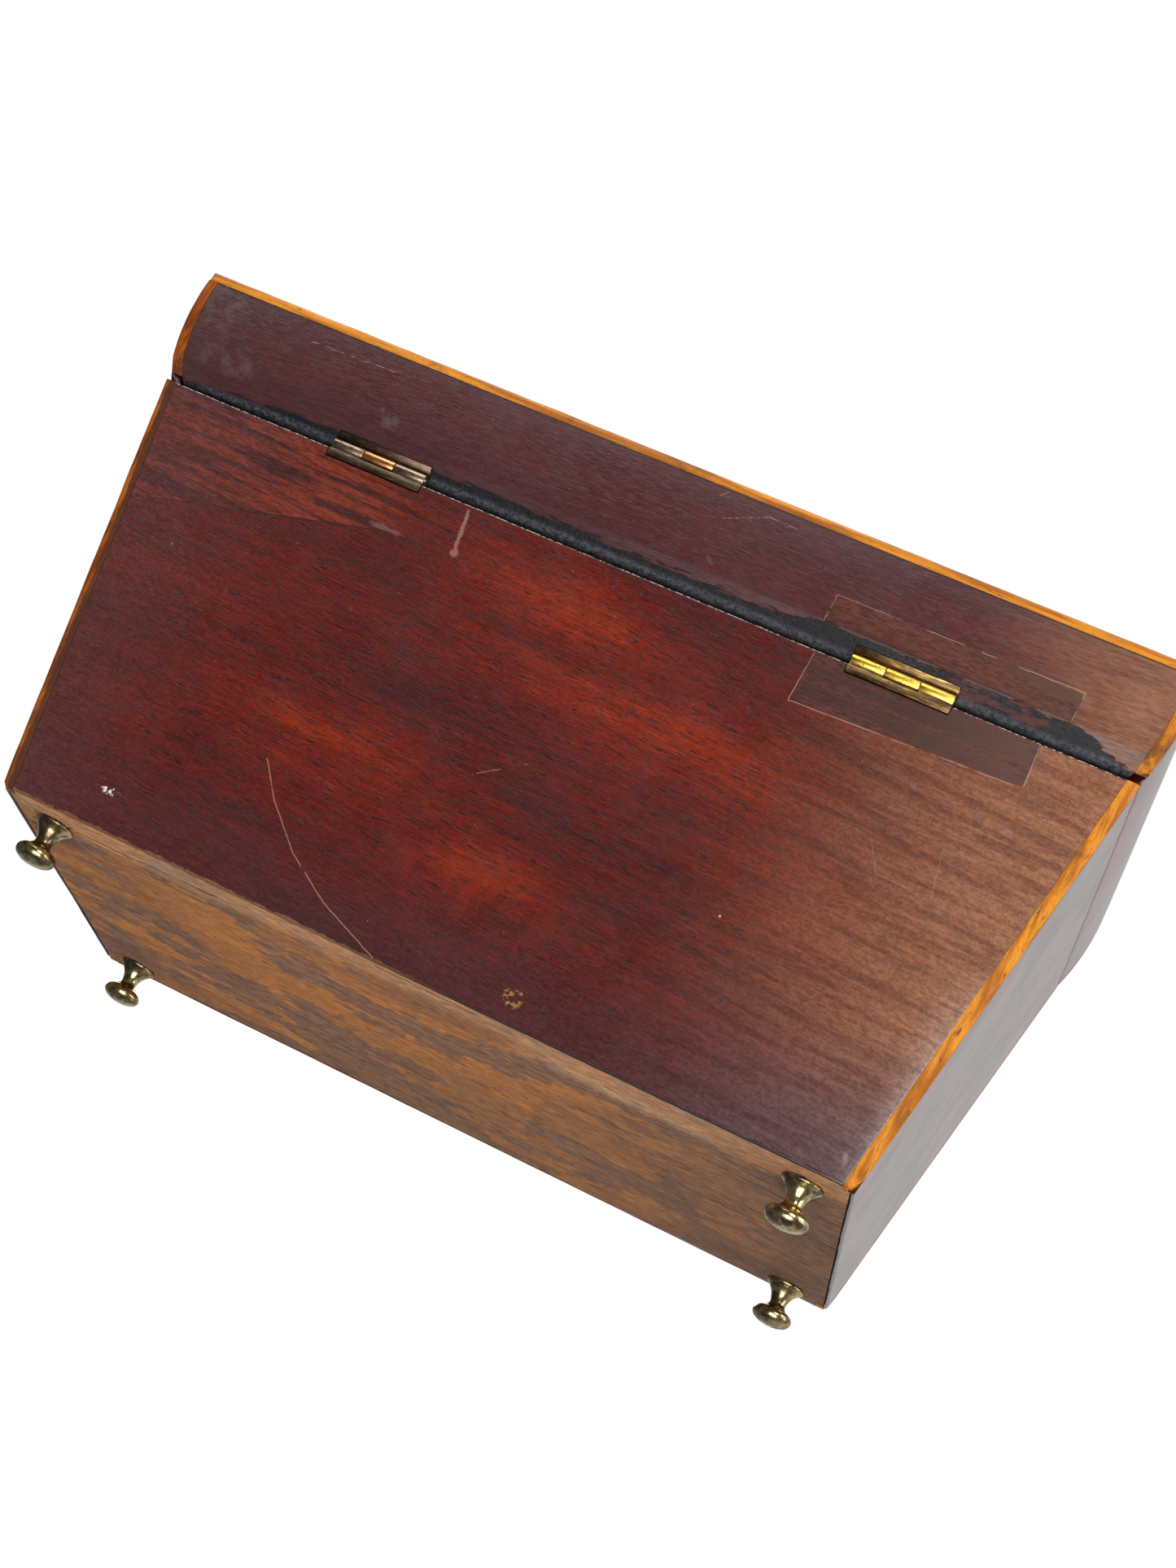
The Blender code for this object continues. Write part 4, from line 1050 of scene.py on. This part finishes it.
def corner_strip(name, side, depth, span, material, bevelled=False, bruise=0.0):
    """A boxwood strip up one corner, its arris worn unevenly."""
    low, high = span
    end = FACES["left" if side < 0 else "right"]
    face = FACES["front" if depth < 0 else "back"]
    seed = 3.0 * side + 5.0 * depth + low
    count = round((high - low) / (1.1 * MM))
    rings = []
    for i in range(count + 1):
        t = i / count
        middle = low + t * (high - low)
        radius = 0.55 * MM + wobble(middle, seed, 2.1, 8 * MM, 0.7 * MM)
        worn = arris(middle - TOE.z, 0.6 * MM) + bruise * max(0.0, 1 - (middle - low) / (6 * MM)) ** 2
        ring = []
        for a, b in strip_section(STRIP - 0.12 * MM, radius + worn):
            start = bevel_height(b) if bevelled else low
            z = start + t * (high - start)
            hx, hy = outer_half(z)
            sink_a = face_sink(end, end.along.y * depth * (hy - b), z)
            sink_b = face_sink(face, face.along.x * side * (hx - a), z)
            ring.append((side * (hx - max(a, worn) - sink_a), depth * (hy - max(b, worn) - sink_b), z))
        rings.append(ring)
    return tube(name, rings, material)


def underside(material):
    """The bottom board, pitted, with a ring pressed in round each foot's flange."""
    feet = [box(f"foot_{depth}_{side}") for depth in DEPTHS for side in SIDES]
    centres = [((low.x + high.x) / 2, (low.y + high.y) / 2) for low, high in feet]
    half_x, half_y = BASE_X - VENEER - 0.05 * MM, BASE_Y - VENEER - 0.05 * MM
    near = [i * 0.6 * MM for i in range(-14, 15)]
    xs = stations(-half_x, half_x, 2.2 * MM, EDGE[:3], {cx + d for cx, _ in centres for d in near})
    ys = stations(-half_y, half_y, 2.2 * MM, EDGE[:3], {cy + d for _, cy in centres for d in near})

    def point(x, y):
        edge = min(half_x - abs(x), half_y - abs(y))
        rise = arris(edge, 0.3 * MM) + wobble(x, y, 40.2, 30 * MM, 0.25 * MM)
        pits = noise.noise(Vector((x / (4.5 * MM), y / (2.6 * MM), 8.8)))
        rise += 0.35 * MM * max(0.0, pits - 0.35)
        for cx, cy in centres:
            ring = math.hypot(x - cx, y - cy)
            rise += 0.45 * MM * max(0.0, 1 - abs(ring - 6.6 * MM) / (1.1 * MM))
        return Vector((x, y, TOE.z + rise))

    def keep(x, y):
        return abs(x) < half_x + VENEER - STRIP or abs(y) < half_y + VENEER - STRIP

    return sheet("worn_underside", xs, ys, point, -5.4 * MM, material, keep)


def foot(name, material):
    low, high = box(name)
    centre = Vector(((low.x + high.x) / 2, (low.y + high.y) / 2, 0))
    trumpet = [(5.75, 13.0), (5.82, 12.7), (5.75, 12.3), (5.3, 11.9)]
    trumpet += [(4.5, 11.2), (3.6, 10.1), (2.9, 8.8), (2.55, 7.4)]
    neck = [(2.55, 6.5), (2.9, 5.8), (3.2, 5.5), (3.1, 5.2), (4.2, 4.85)]
    head = [(5.5, 4.2), (6.05, 3.2), (5.95, 2.2), (5.2, 1.2), (3.6, 0.42), (1.8, 0.03)]
    points = [(radius * MM, z * MM) for radius, z in trumpet + neck + head]
    curve = smooth_profile(points, 3)
    return turned(f"{name}_turned", [(0, points[0][1])] + curve + [(0, 0.0)], centre, material, 72)


def rail(face, material, bevelled=False):
    """One side of the lid: swelling outwards, flat inside and mitred behind the corner strips."""
    seed = FACE_SEED[face.name] + 20
    extra = (BEVEL_TOP - 0.5 * MM, BEVEL_TOP, BEVEL_TOP + 0.5 * MM) if bevelled else ()
    heights = stations(LID_LOW, RAIL_HIGH, 1.3 * MM, EDGE[:2], extra)
    half = face.halves(LID_LOW)[0] - STRIP
    shares = [u / half for u in stations(-half, half, 1.5 * MM, EDGE[:3])]
    rim_out = (RIM.x if face.is_end else RIM.y)

    def placed_point(share, inset, z):
        u = share * (face.halves(z)[0] - max(STRIP, inset))
        return face.point(u, z, inset)

    def outer_inset(u, z):
        sink = face_sink(face, u, z) + arris(z - LID_LOW, 0.35 * MM)
        sink += arris(half - abs(u), 0.15 * MM)
        if not bevelled:
            return sink
        slope = face.halves(z)[1] - (rim_out - BEVEL + z - LID_LOW)
        slope += wobble(u, z, seed, 16 * MM, 0.16 * MM)
        return (sink + slope + math.hypot(sink - slope, 1.2 * MM)) / 2

    rings = []
    for share in shares:
        outer = [placed_point(share, outer_inset(share * half, z), z) for z in heights]
        swell = face.halves(RAIL_HIGH)[1] - rim_out
        inner = [placed_point(share, WALL + swell, RAIL_HIGH), placed_point(share, WALL, LID_LOW)]
        rings.append(outer + inner)
    return tube(f"lid_{face.name}_side", rings, material)


def extruded(name, section, low_x, high_x, material=None):
    """A (y, z) outline between two X positions."""
    rings = [[(x, y, z) for y, z in section] for x in (low_x, high_x)]
    return tube(name, rings, material)


def leaf_bed(side):
    """A cutter for a hinge's upper leaf: its plate under the lid and its shoulder on the bevel."""
    low, high = box(f"{side}_hinge_upper_leaf")
    pin_low, pin_high = box(f"{side}_hinge_pin")
    middle = (pin_low + pin_high) / 2
    crest = high.z + GAP
    plate = low.z + 1.4 * MM + GAP
    line = middle.y - middle.z
    deep, proud = line - 4.1 * MM - GAP, line - 1.3 * MM
    reach = low.y - GAP
    below = LID_LOW - 1 * MM
    section = [(reach, below), (below + proud, below), (crest + proud, crest)]
    section += [(crest + deep, crest), (plate + deep, plate), (reach, plate)]
    return extruded("cutter", section, low.x - GAP, high.x + GAP)


def bevel_wedge():
    """A cutter for the bevel, for the end rails."""
    inner = RIM.y - BEVEL
    spare = 4 * MM
    outer = RIM.y + BEVEL
    section = [(inner - spare, LID_LOW - spare), (outer, LID_LOW - spare), (outer, LID_LOW + 2 * BEVEL)]
    return extruded("cutter", section, -2 * RIM.x, 2 * RIM.x)


def top_strip(face, material):
    """A strip along one top edge of the lid. The long ones take the corners."""
    top_half = face.halves(LID_HIGH)[0]
    half = top_half - STRIP - 0.1 * MM if face.is_end else top_half
    seed = FACE_SEED[face.name] + 30
    rings = []
    for u in stations(-half, half, 1.5 * MM, EDGE[:5]):
        radius = 1.3 * MM + wobble(u, 0, seed, 11 * MM, 0.7 * MM)
        end = 0.0 if face.is_end else arris(half - abs(u), 1.3 * MM)
        ring = []
        for inset, drop in strip_section(STRIP - 0.1 * MM, radius, 6):
            z = LID_HIGH - max(drop, end)
            ring.append(face.point(u, z, max(inset, end) + 0.12 * MM))
        rings.append(ring)
    return tube(f"lid_top_edge_{face.name}", rings, material)


def top_panel(material):
    hx, hy = outer_half(LID_HIGH)
    half_x, half_y = hx - STRIP - 0.12 * MM, hy - STRIP - 0.12 * MM
    xs = stations(-half_x, half_x, 2.5 * MM, EDGE[:3])
    ys = stations(-half_y, half_y, 2.5 * MM, EDGE[:3])

    def point(x, y):
        fall = arris(min(half_x - abs(x), half_y - abs(y)), 0.25 * MM)
        fall += wobble(x, y, 61.0, 50 * MM, 0.25 * MM)
        return Vector((x, y, LID_HIGH - 0.05 * MM - fall))

    return sheet("lid_top_figured", xs, ys, point, STRIP - 0.3 * MM, material)


def patch(name, span, low_line, high_z, material, seed):
    """A thin let-in repair on the back, standing a hair proud of its surroundings."""
    face = FACES["back"]
    start, stop = span
    edges, notch_z = notch_edges()
    us = stations(start, stop, 1.5 * MM, EDGE[:2], {-x for x in edges if start < -x < stop})
    rows = [i / 8 for i in range(9)]
    body = high_z <= RIM.z
    knee = notch_z if body else high_z
    if body:
        rows += [1 + i / 2 for i in range(1, 3)]

    def height(u, v):
        floor = low_line(u)
        if v <= 1:
            return floor + v * (knee - floor)
        return knee + (v - 1) * (high_z - 0.4 * MM - knee)

    def point(u, v):
        z = height(u, v)
        edge = min(u - start, stop - u, z - low_line(u))
        proud = 0.09 * MM - arris(edge, 0.09 * MM)
        return face.point(u, z, face_sink(face, u, z) - proud + wobble(u, z, seed, 7 * MM, 0.05 * MM))

    def keep(u, v):
        return not (body and leaf_notch(-u, height(u, v)))

    return sheet(name, us, rows, point, 0.5 * MM, material, keep)


def ramp(start, stop):
    """A straight line through two (u, z) points, as a function of u."""
    (u0, z0), (u1, z1) = start, stop
    return lambda u: z0 + (u - u0) * (z1 - z0) / (u1 - u0)


def bowl(material):
    """A hanging glass bowl with a heavy rim and a plain foot."""
    low, high = box("mixing_bowl")
    rim_r = high.x
    wall, rim_t, foot_r, body_r = 2.6 * MM, 3 * MM, 22 * MM, 41.5 * MM
    top, base = high.z - low.z, 0.0
    steps = 22
    inner, outer = [], []
    for i in range(steps + 1):
        t = i / steps
        radius = foot_r + (body_r - foot_r) * t ** (1 / 1.6)
        inner.append((radius - wall, 2 * wall + t * (top - 0.4 * MM - 2 * wall)))
        outer.append((radius, base + 0.5 * MM + t * (top - rim_t - 0.5 * MM)))
    rim = [(rim_r - 2.2 * MM, top), (rim_r - 0.8 * MM, top - 0.15 * MM), (rim_r, top - 1.0 * MM)]
    under = top - rim_t + 0.1 * MM
    rim += [(rim_r, top - 2.2 * MM), (rim_r - 0.5 * MM, under), (body_r + 1 * MM, under)]
    foot_ring = [(foot_r - 0.6 * MM, base), (foot_r - 4 * MM, base), (foot_r - 6 * MM, base + 0.8 * MM)]
    profile = [(0, 2 * wall)] + inner + rim + outer[::-1] + foot_ring + [(0, base + 0.9 * MM)]
    return turned("glass_bowl", profile, Vector((0, 0, low.z)), material, 96)


def knob(side, material):
    low, high = box(f"{side}_cover_knob")
    centre = Vector(((low.x + high.x) / 2, (low.y + high.y) / 2, low.z))
    ball = [(1.6, 8.85), (3.1, 8.05), (4.1, 6.9), (4.3, 5.9), (3.9, 4.8), (3.0, 3.8), (2.0, 3.1)]
    stem = [(1.65, 2.5), (1.7, 1.7), (2.3, 1.2), (3.1, 0.9), (3.2, 0.45), (3.1, 0.02)]
    curve = smooth_profile([(radius * MM, z * MM) for radius, z in ball + stem], 3)
    return turned(f"{side}_bone_knob", [(0, 9 * MM)] + curve + [(0, 0)], centre, material, 48)


def cover(side, material):
    """A canister cover with its top edge moulded."""
    low, high = box(f"{side}_canister_cover")
    centre = (low + high) / 2
    size = (high - low) / 2
    rings = []
    profile = [(0.5, 0), (0, 0.6), (0, 3.0), (0.15, 3.6)]
    profile += [(0.9, 3.9), (1.15, 4.3), (1.6, 4.8), (2.6, 5.0)]
    for inset, rise in profile:
        x, y = size.x - inset * MM, size.y - inset * MM
        corners = ((-x, -y), (x, -y), (x, y), (-x, y))
        rings.append([(centre.x + cx, centre.y + cy, low.z + rise * MM) for cx, cy in corners])
    return tube(f"{side}_cover_board", rings, material, smooth=25)


def lining(material):
    low, high = box("lid_lining")
    xs = stations(low.x, high.x, 3 * MM, EDGE[:2])
    ys = stations(low.y, high.y, 3 * MM, EDGE[:2])

    def point(x, y):
        return Vector((x, y, low.z + wobble(x, y, 71.0, 18 * MM, 0.3 * MM)))

    return sheet("lid_paper_lining", xs, ys, point, -0.6 * MM, material)


# ---------------------------------------------------------------- assembly


def build_body():
    edges = {"left": end_look("left_end_mahogany", 2.7), "right": end_look("right_end_mahogany", 4.1)}
    looks = {"back": back_look(), "front": front_look(), **edges}
    for name, face in FACES.items():
        veneer = body_veneer(face, looks[name])
        node = f"{name}_end_veneer" if face.is_end else f"{name}_veneer"
        placed(veneer, "carcase", "mahogany_veneer", node)
    amber = boxwood_look("corner_boxwood", "Z", 0.4, 0.04)
    grimy = boxwood_look("grimy_boxwood", "Z", 1.1, 0.15, inner_edge, HANDLED)
    for depth_name, depth in DEPTHS.items():
        for side_name, side in SIDES.items():
            name = f"body_strip_{depth_name}_{side_name}"
            material = grimy if name == "body_strip_back_right" else amber
            bruise = 1.6 * MM if name == "body_strip_back_left" else 0.4 * MM
            strip = corner_strip(f"{name}_worn", side, depth, (TOE.z, RIM.z), material, bruise=bruise)
            placed(strip, "carcase", "boxwood", name)
    placed(underside(bottom_look()), "carcase", "bare_wood", "bottom_board")
    span = (0.0572, 0.1226)
    low_line = ramp((span[0], 0.1256), (span[1], 0.1283))
    wood = patch_look("body_repair_wood", 5.6, BODY_PATCH, 0.55)
    repair = patch("body_repair", span, low_line, RIM.z, wood, 51.0)
    placed(repair, "carcase", "mahogany_veneer")


def build_feet():
    brass = metal_look("foot_brass", (0.64, 0.51, 0.24), (0.15, 0.112, 0.066), 0.72, (0.13, 0.38))
    for depth in DEPTHS:
        for side in SIDES:
            name = f"foot_{depth}_{side}"
            placed(foot(name, brass), "carcase", "brass", name)


def build_lid():
    looks = {
        "back": lid_look("lid_back_mahogany", "X", 6.2, back=True),
        "front": lid_look("lid_front_mahogany", "X", 7.9),
        "left": end_look("lid_left_mahogany", 8.3),
        "right": end_look("lid_right_mahogany", 9.7),
    }
    for name, face in FACES.items():
        side = rail(face, looks[name], name == "back")
        if name == "back":
            cut(side, leaf_bed("left"), leaf_bed("right"))
        elif name == "front":
            cut(side, grown("lock_link", GAP))
        else:
            cut(side, bevel_wedge())
        placed(side, "lid", "lid_mahogany", f"lid_{name}_rail")
    amber = boxwood_look("lid_corner_boxwood", "Z", 2.2, 0.06)
    blackened = boxwood_look("lid_back_corner_boxwood", "Z", 3.1, 0.10, bevel_mask)
    handled = boxwood_look("lid_grimy_boxwood", "Z", 3.8, 0.15, bevel_mask, HANDLED)
    for depth_name, depth in DEPTHS.items():
        for side_name, side in SIDES.items():
            name = f"lid_strip_{depth_name}_{side_name}"
            back = depth_name == "back"
            material = blackened if back else amber
            if name == "lid_strip_back_right":
                material = handled
            span = (LID_LOW, RAIL_HIGH - 0.05 * MM)
            strip = corner_strip(f"{name}_worn", side, depth, span, material, back)
            placed(strip, "lid", "boxwood", name)
    long_edge = boxwood_look("lid_long_edge_boxwood", "X", 4.4, 0.05)
    end_edge = boxwood_look("lid_end_edge_boxwood", "Y", 5.2, 0.05)
    for name, face in FACES.items():
        strip = top_strip(face, end_edge if face.is_end else long_edge)
        placed(strip, "lid", "boxwood", f"lid_top_strip_{name}")
    placed(top_panel(lid_look("lid_top_mahogany", "X", 10.4)), "lid", "lid_mahogany", "lid_top_panel")
    placed(lining(paper_look()), "lid", "lining_paper", "lid_lining")
    span = (0.0553, 0.1272)
    low_line = ramp((span[0], BEVEL_TOP + 0.5 * MM), (span[1], BEVEL_TOP + 0.5 * MM))
    wood = patch_look("lid_repair_wood", 7.3, LID_PATCH, 0.65)
    repair = patch("lid_repair", span, low_line, 0.1583, wood, 52.0)
    placed(repair, "lid", "lid_mahogany")


def build_hinges():
    yellow = hinge_look("yellow_brass", (0.80, 0.50, 0.085), (0.30, 0.16, 0.035), 0.30, "left")
    orange = (0.62, 0.28, 0.11)
    dull = hinge_look("dull_brass", (0.30, 0.21, 0.14), (0.12, 0.080, 0.055), 0.45, "right", orange)
    steel = metal_look("pin_steel", (0.42, 0.38, 0.33), (0.14, 0.09, 0.06), 0.5, (0.35, 0.6), "X")
    for side, brass in (("left", yellow), ("right", dull)):
        for which, body in (("lower", "carcase"), ("upper", "lid")):
            node = f"{side}_hinge_{which}_leaf"
            placed(refined(node, brass, 0.14 * MM), body, "brass", node)
            for end in SIDES:
                node = f"{side}_{which}_screw_{end}"
                placed(refined(node, brass, 0.06 * MM, 40), body, "brass", node)
        node = f"{side}_hinge_pin"
        placed(refined(node, steel, 0.12 * MM, 40), "carcase", "steel", node)


def build_inside():
    wood_x = plain_wood_look("carcase_deal_x", "X", (0.200, 0.090, 0.040), (0.380, 0.210, 0.105))
    wood_y = plain_wood_look("carcase_deal_y", "Y", (0.190, 0.085, 0.038), (0.360, 0.200, 0.100))
    for node in ("front_board", "back_board"):
        placed(refined(node, wood_x, 0.3 * MM), "carcase", "carcase_wood", node)
    for side in SIDES:
        for kind in ("end_board", "partition", "cover_ledge"):
            node = f"{side}_{kind}"
            placed(refined(node, wood_y, 0.4 * MM), "carcase", "carcase_wood", node)
    board = lid_look("bowl_board_mahogany", "X", 11.8)
    placed(refined("bowl_board", board, 0.5 * MM), "carcase", "lid_mahogany", "bowl_board")
    placed(bowl(glass_look()), "bowl", "glass", "mixing_bowl")
    cover_wood = lid_look("cover_mahogany", "Y", 12.9)
    bone = bone_look()
    for side in SIDES:
        placed(cover(side, cover_wood), f"{side}_cover", "lid_mahogany", f"{side}_canister_cover")
        placed(knob(side, bone), f"{side}_cover", "bone", f"{side}_cover_knob")


def build_lock():
    brass = metal_look("lock_brass", (0.66, 0.48, 0.18), (0.26, 0.16, 0.06), 0.4, (0.25, 0.5), "X")
    steel = metal_look("bolt_steel", (0.50, 0.48, 0.45), (0.20, 0.15, 0.11), 0.4, (0.3, 0.55), "X")
    placed(refined("lock_case", brass, 0.25 * MM), "carcase", "brass", "lock_case")
    placed(refined("keyhole_plate", brass, 0.22 * MM), "carcase", "brass", "keyhole_plate")
    placed(refined("lock_bolt", steel, 0.2 * MM), "bolt", "steel", "lock_bolt")
    for node in ("lock_link", "lock_staple"):
        placed(refined(node, brass, 0.15 * MM), "lid", "brass", node)


# ---------------------------------------------------------------- studio

CAMERA_AT = (-0.1575, 0.6570, -0.1471)
CAMERA_AZIMUTH = math.radians(-164.411)
CAMERA_ELEVATION = math.radians(-21.2854)
CAMERA_ROLL = math.radians(29.596)
LENS_MM = 55.05
SHIFT = (0.0424, -0.0373)
FLOOR_SIZE = 3.0
WHITE = (1.0, 1.0, 1.0)
CENTRE = Vector((0.0, 0.0, 0.09))


def add_camera():
    data = bpy.data.cameras.new("camera")
    data.lens = LENS_MM
    data.shift_x, data.shift_y = SHIFT
    data.clip_start, data.clip_end = 0.01, 20
    camera = bpy.data.objects.new("camera", data)
    level = math.cos(CAMERA_ELEVATION)
    back = Vector((
        math.sin(CAMERA_AZIMUTH) * level,
        -math.cos(CAMERA_AZIMUTH) * level,
        math.sin(CAMERA_ELEVATION),
    ))
    camera.rotation_mode = "QUATERNION"
    roll = Matrix.Rotation(CAMERA_ROLL, 3, "Z").to_quaternion()
    camera.rotation_quaternion = (-back).to_track_quat("-Z", "Y") @ roll
    camera.location = CAMERA_AT
    bpy.context.scene.collection.objects.link(camera)
    bpy.context.scene.camera = camera


def add_floor():
    """A pale floor, seen from above only, since the camera looks up from below it."""
    look = Look("pale_floor")
    look.colour = look.mix(look.noise(9.0, 4.0, 0.55), (0.80, 0.795, 0.785), (0.86, 0.855, 0.845))
    look.emboss(look.noise(900.0, 2.0), 0.05 * MM)
    far = look.vector("LENGTH", look.place).remap(0.45, 1.7, 0.0, 0.62)
    look.done(0.75, emission_color=WHITE, emission_strength=far)
    below = look.add("ShaderNodeNewGeometry").outputs["Backfacing"]
    either = look.mix_shaders(below, look.shader, look.add("ShaderNodeBsdfTransparent"))
    look.feed(look.tree.nodes["Material Output"].inputs["Surface"], either)
    bm = bmesh.new()
    bmesh.ops.create_grid(bm, x_segments=8, y_segments=8, size=FLOOR_SIZE)
    floor = finished("floor", bm, look.material, closed=False)
    floor.visible_shadow = False
    floor.visible_diffuse = False
    floor.visible_glossy = False


def add_light(name, place, size, watts):
    """A soft rectangular lamp, aimed at the caddy's middle."""
    data = bpy.data.lights.new(name, "AREA")
    data.shape = "RECTANGLE"
    data.size, data.size_y = size
    data.energy = watts
    light = bpy.data.objects.new(name, data)
    light.location = place
    aim = CENTRE - Vector(place)
    light.rotation_mode = "QUATERNION"
    light.rotation_quaternion = aim.to_track_quat("-Z", "Y")
    bpy.context.scene.collection.objects.link(light)


def add_world():
    """White behind the caddy; for its own light, a dim room that is brighter to the left and front."""
    world = bpy.data.worlds.new("studio")
    bpy.context.scene.world = world
    world.use_nodes = True
    nodes = Nodes(world.node_tree)
    nodes.tree.nodes.clear()
    way = nodes.add("ShaderNodeTexCoord").outputs["Generated"]
    aside = nodes.vector("DOT_PRODUCT", way, (-0.55, -0.80, 0.25))
    room = nodes.add("ShaderNodeBackground")
    nodes.feed(room.inputs["Color"], aside.remap(-0.2, 0.9, 0.10, 0.62))
    seen = nodes.add("ShaderNodeBackground")
    nodes.feed(seen.inputs["Color"], WHITE)
    direct = nodes.add("ShaderNodeLightPath").outputs["Is Camera Ray"]
    output = nodes.add("ShaderNodeOutputWorld")
    nodes.feed(output.inputs["Surface"], nodes.mix_shaders(direct, room, seen))
    bpy.context.scene.view_settings.view_transform = "Standard"


def add_lights():
    add_light("overhead", (0.35, 0.45, 1.15), (1.3, 1.0), 18)
    add_light("fill", (-0.25, 0.95, -0.85), (0.8, 0.8), 16)
    add_light("corner_sheen", (-0.55, 1.05, 0.32), (0.35, 0.55), 7)
    add_light("left_window", (-1.15, 0.25, 0.35), (0.7, 1.1), 8)
    add_light("front", (0.5, -1.2, 0.7), (1.2, 1.0), 16)


build_body()
build_feet()
build_lid()
build_hinges()
build_inside()
build_lock()
add_camera()
add_floor()
add_world()
add_lights()
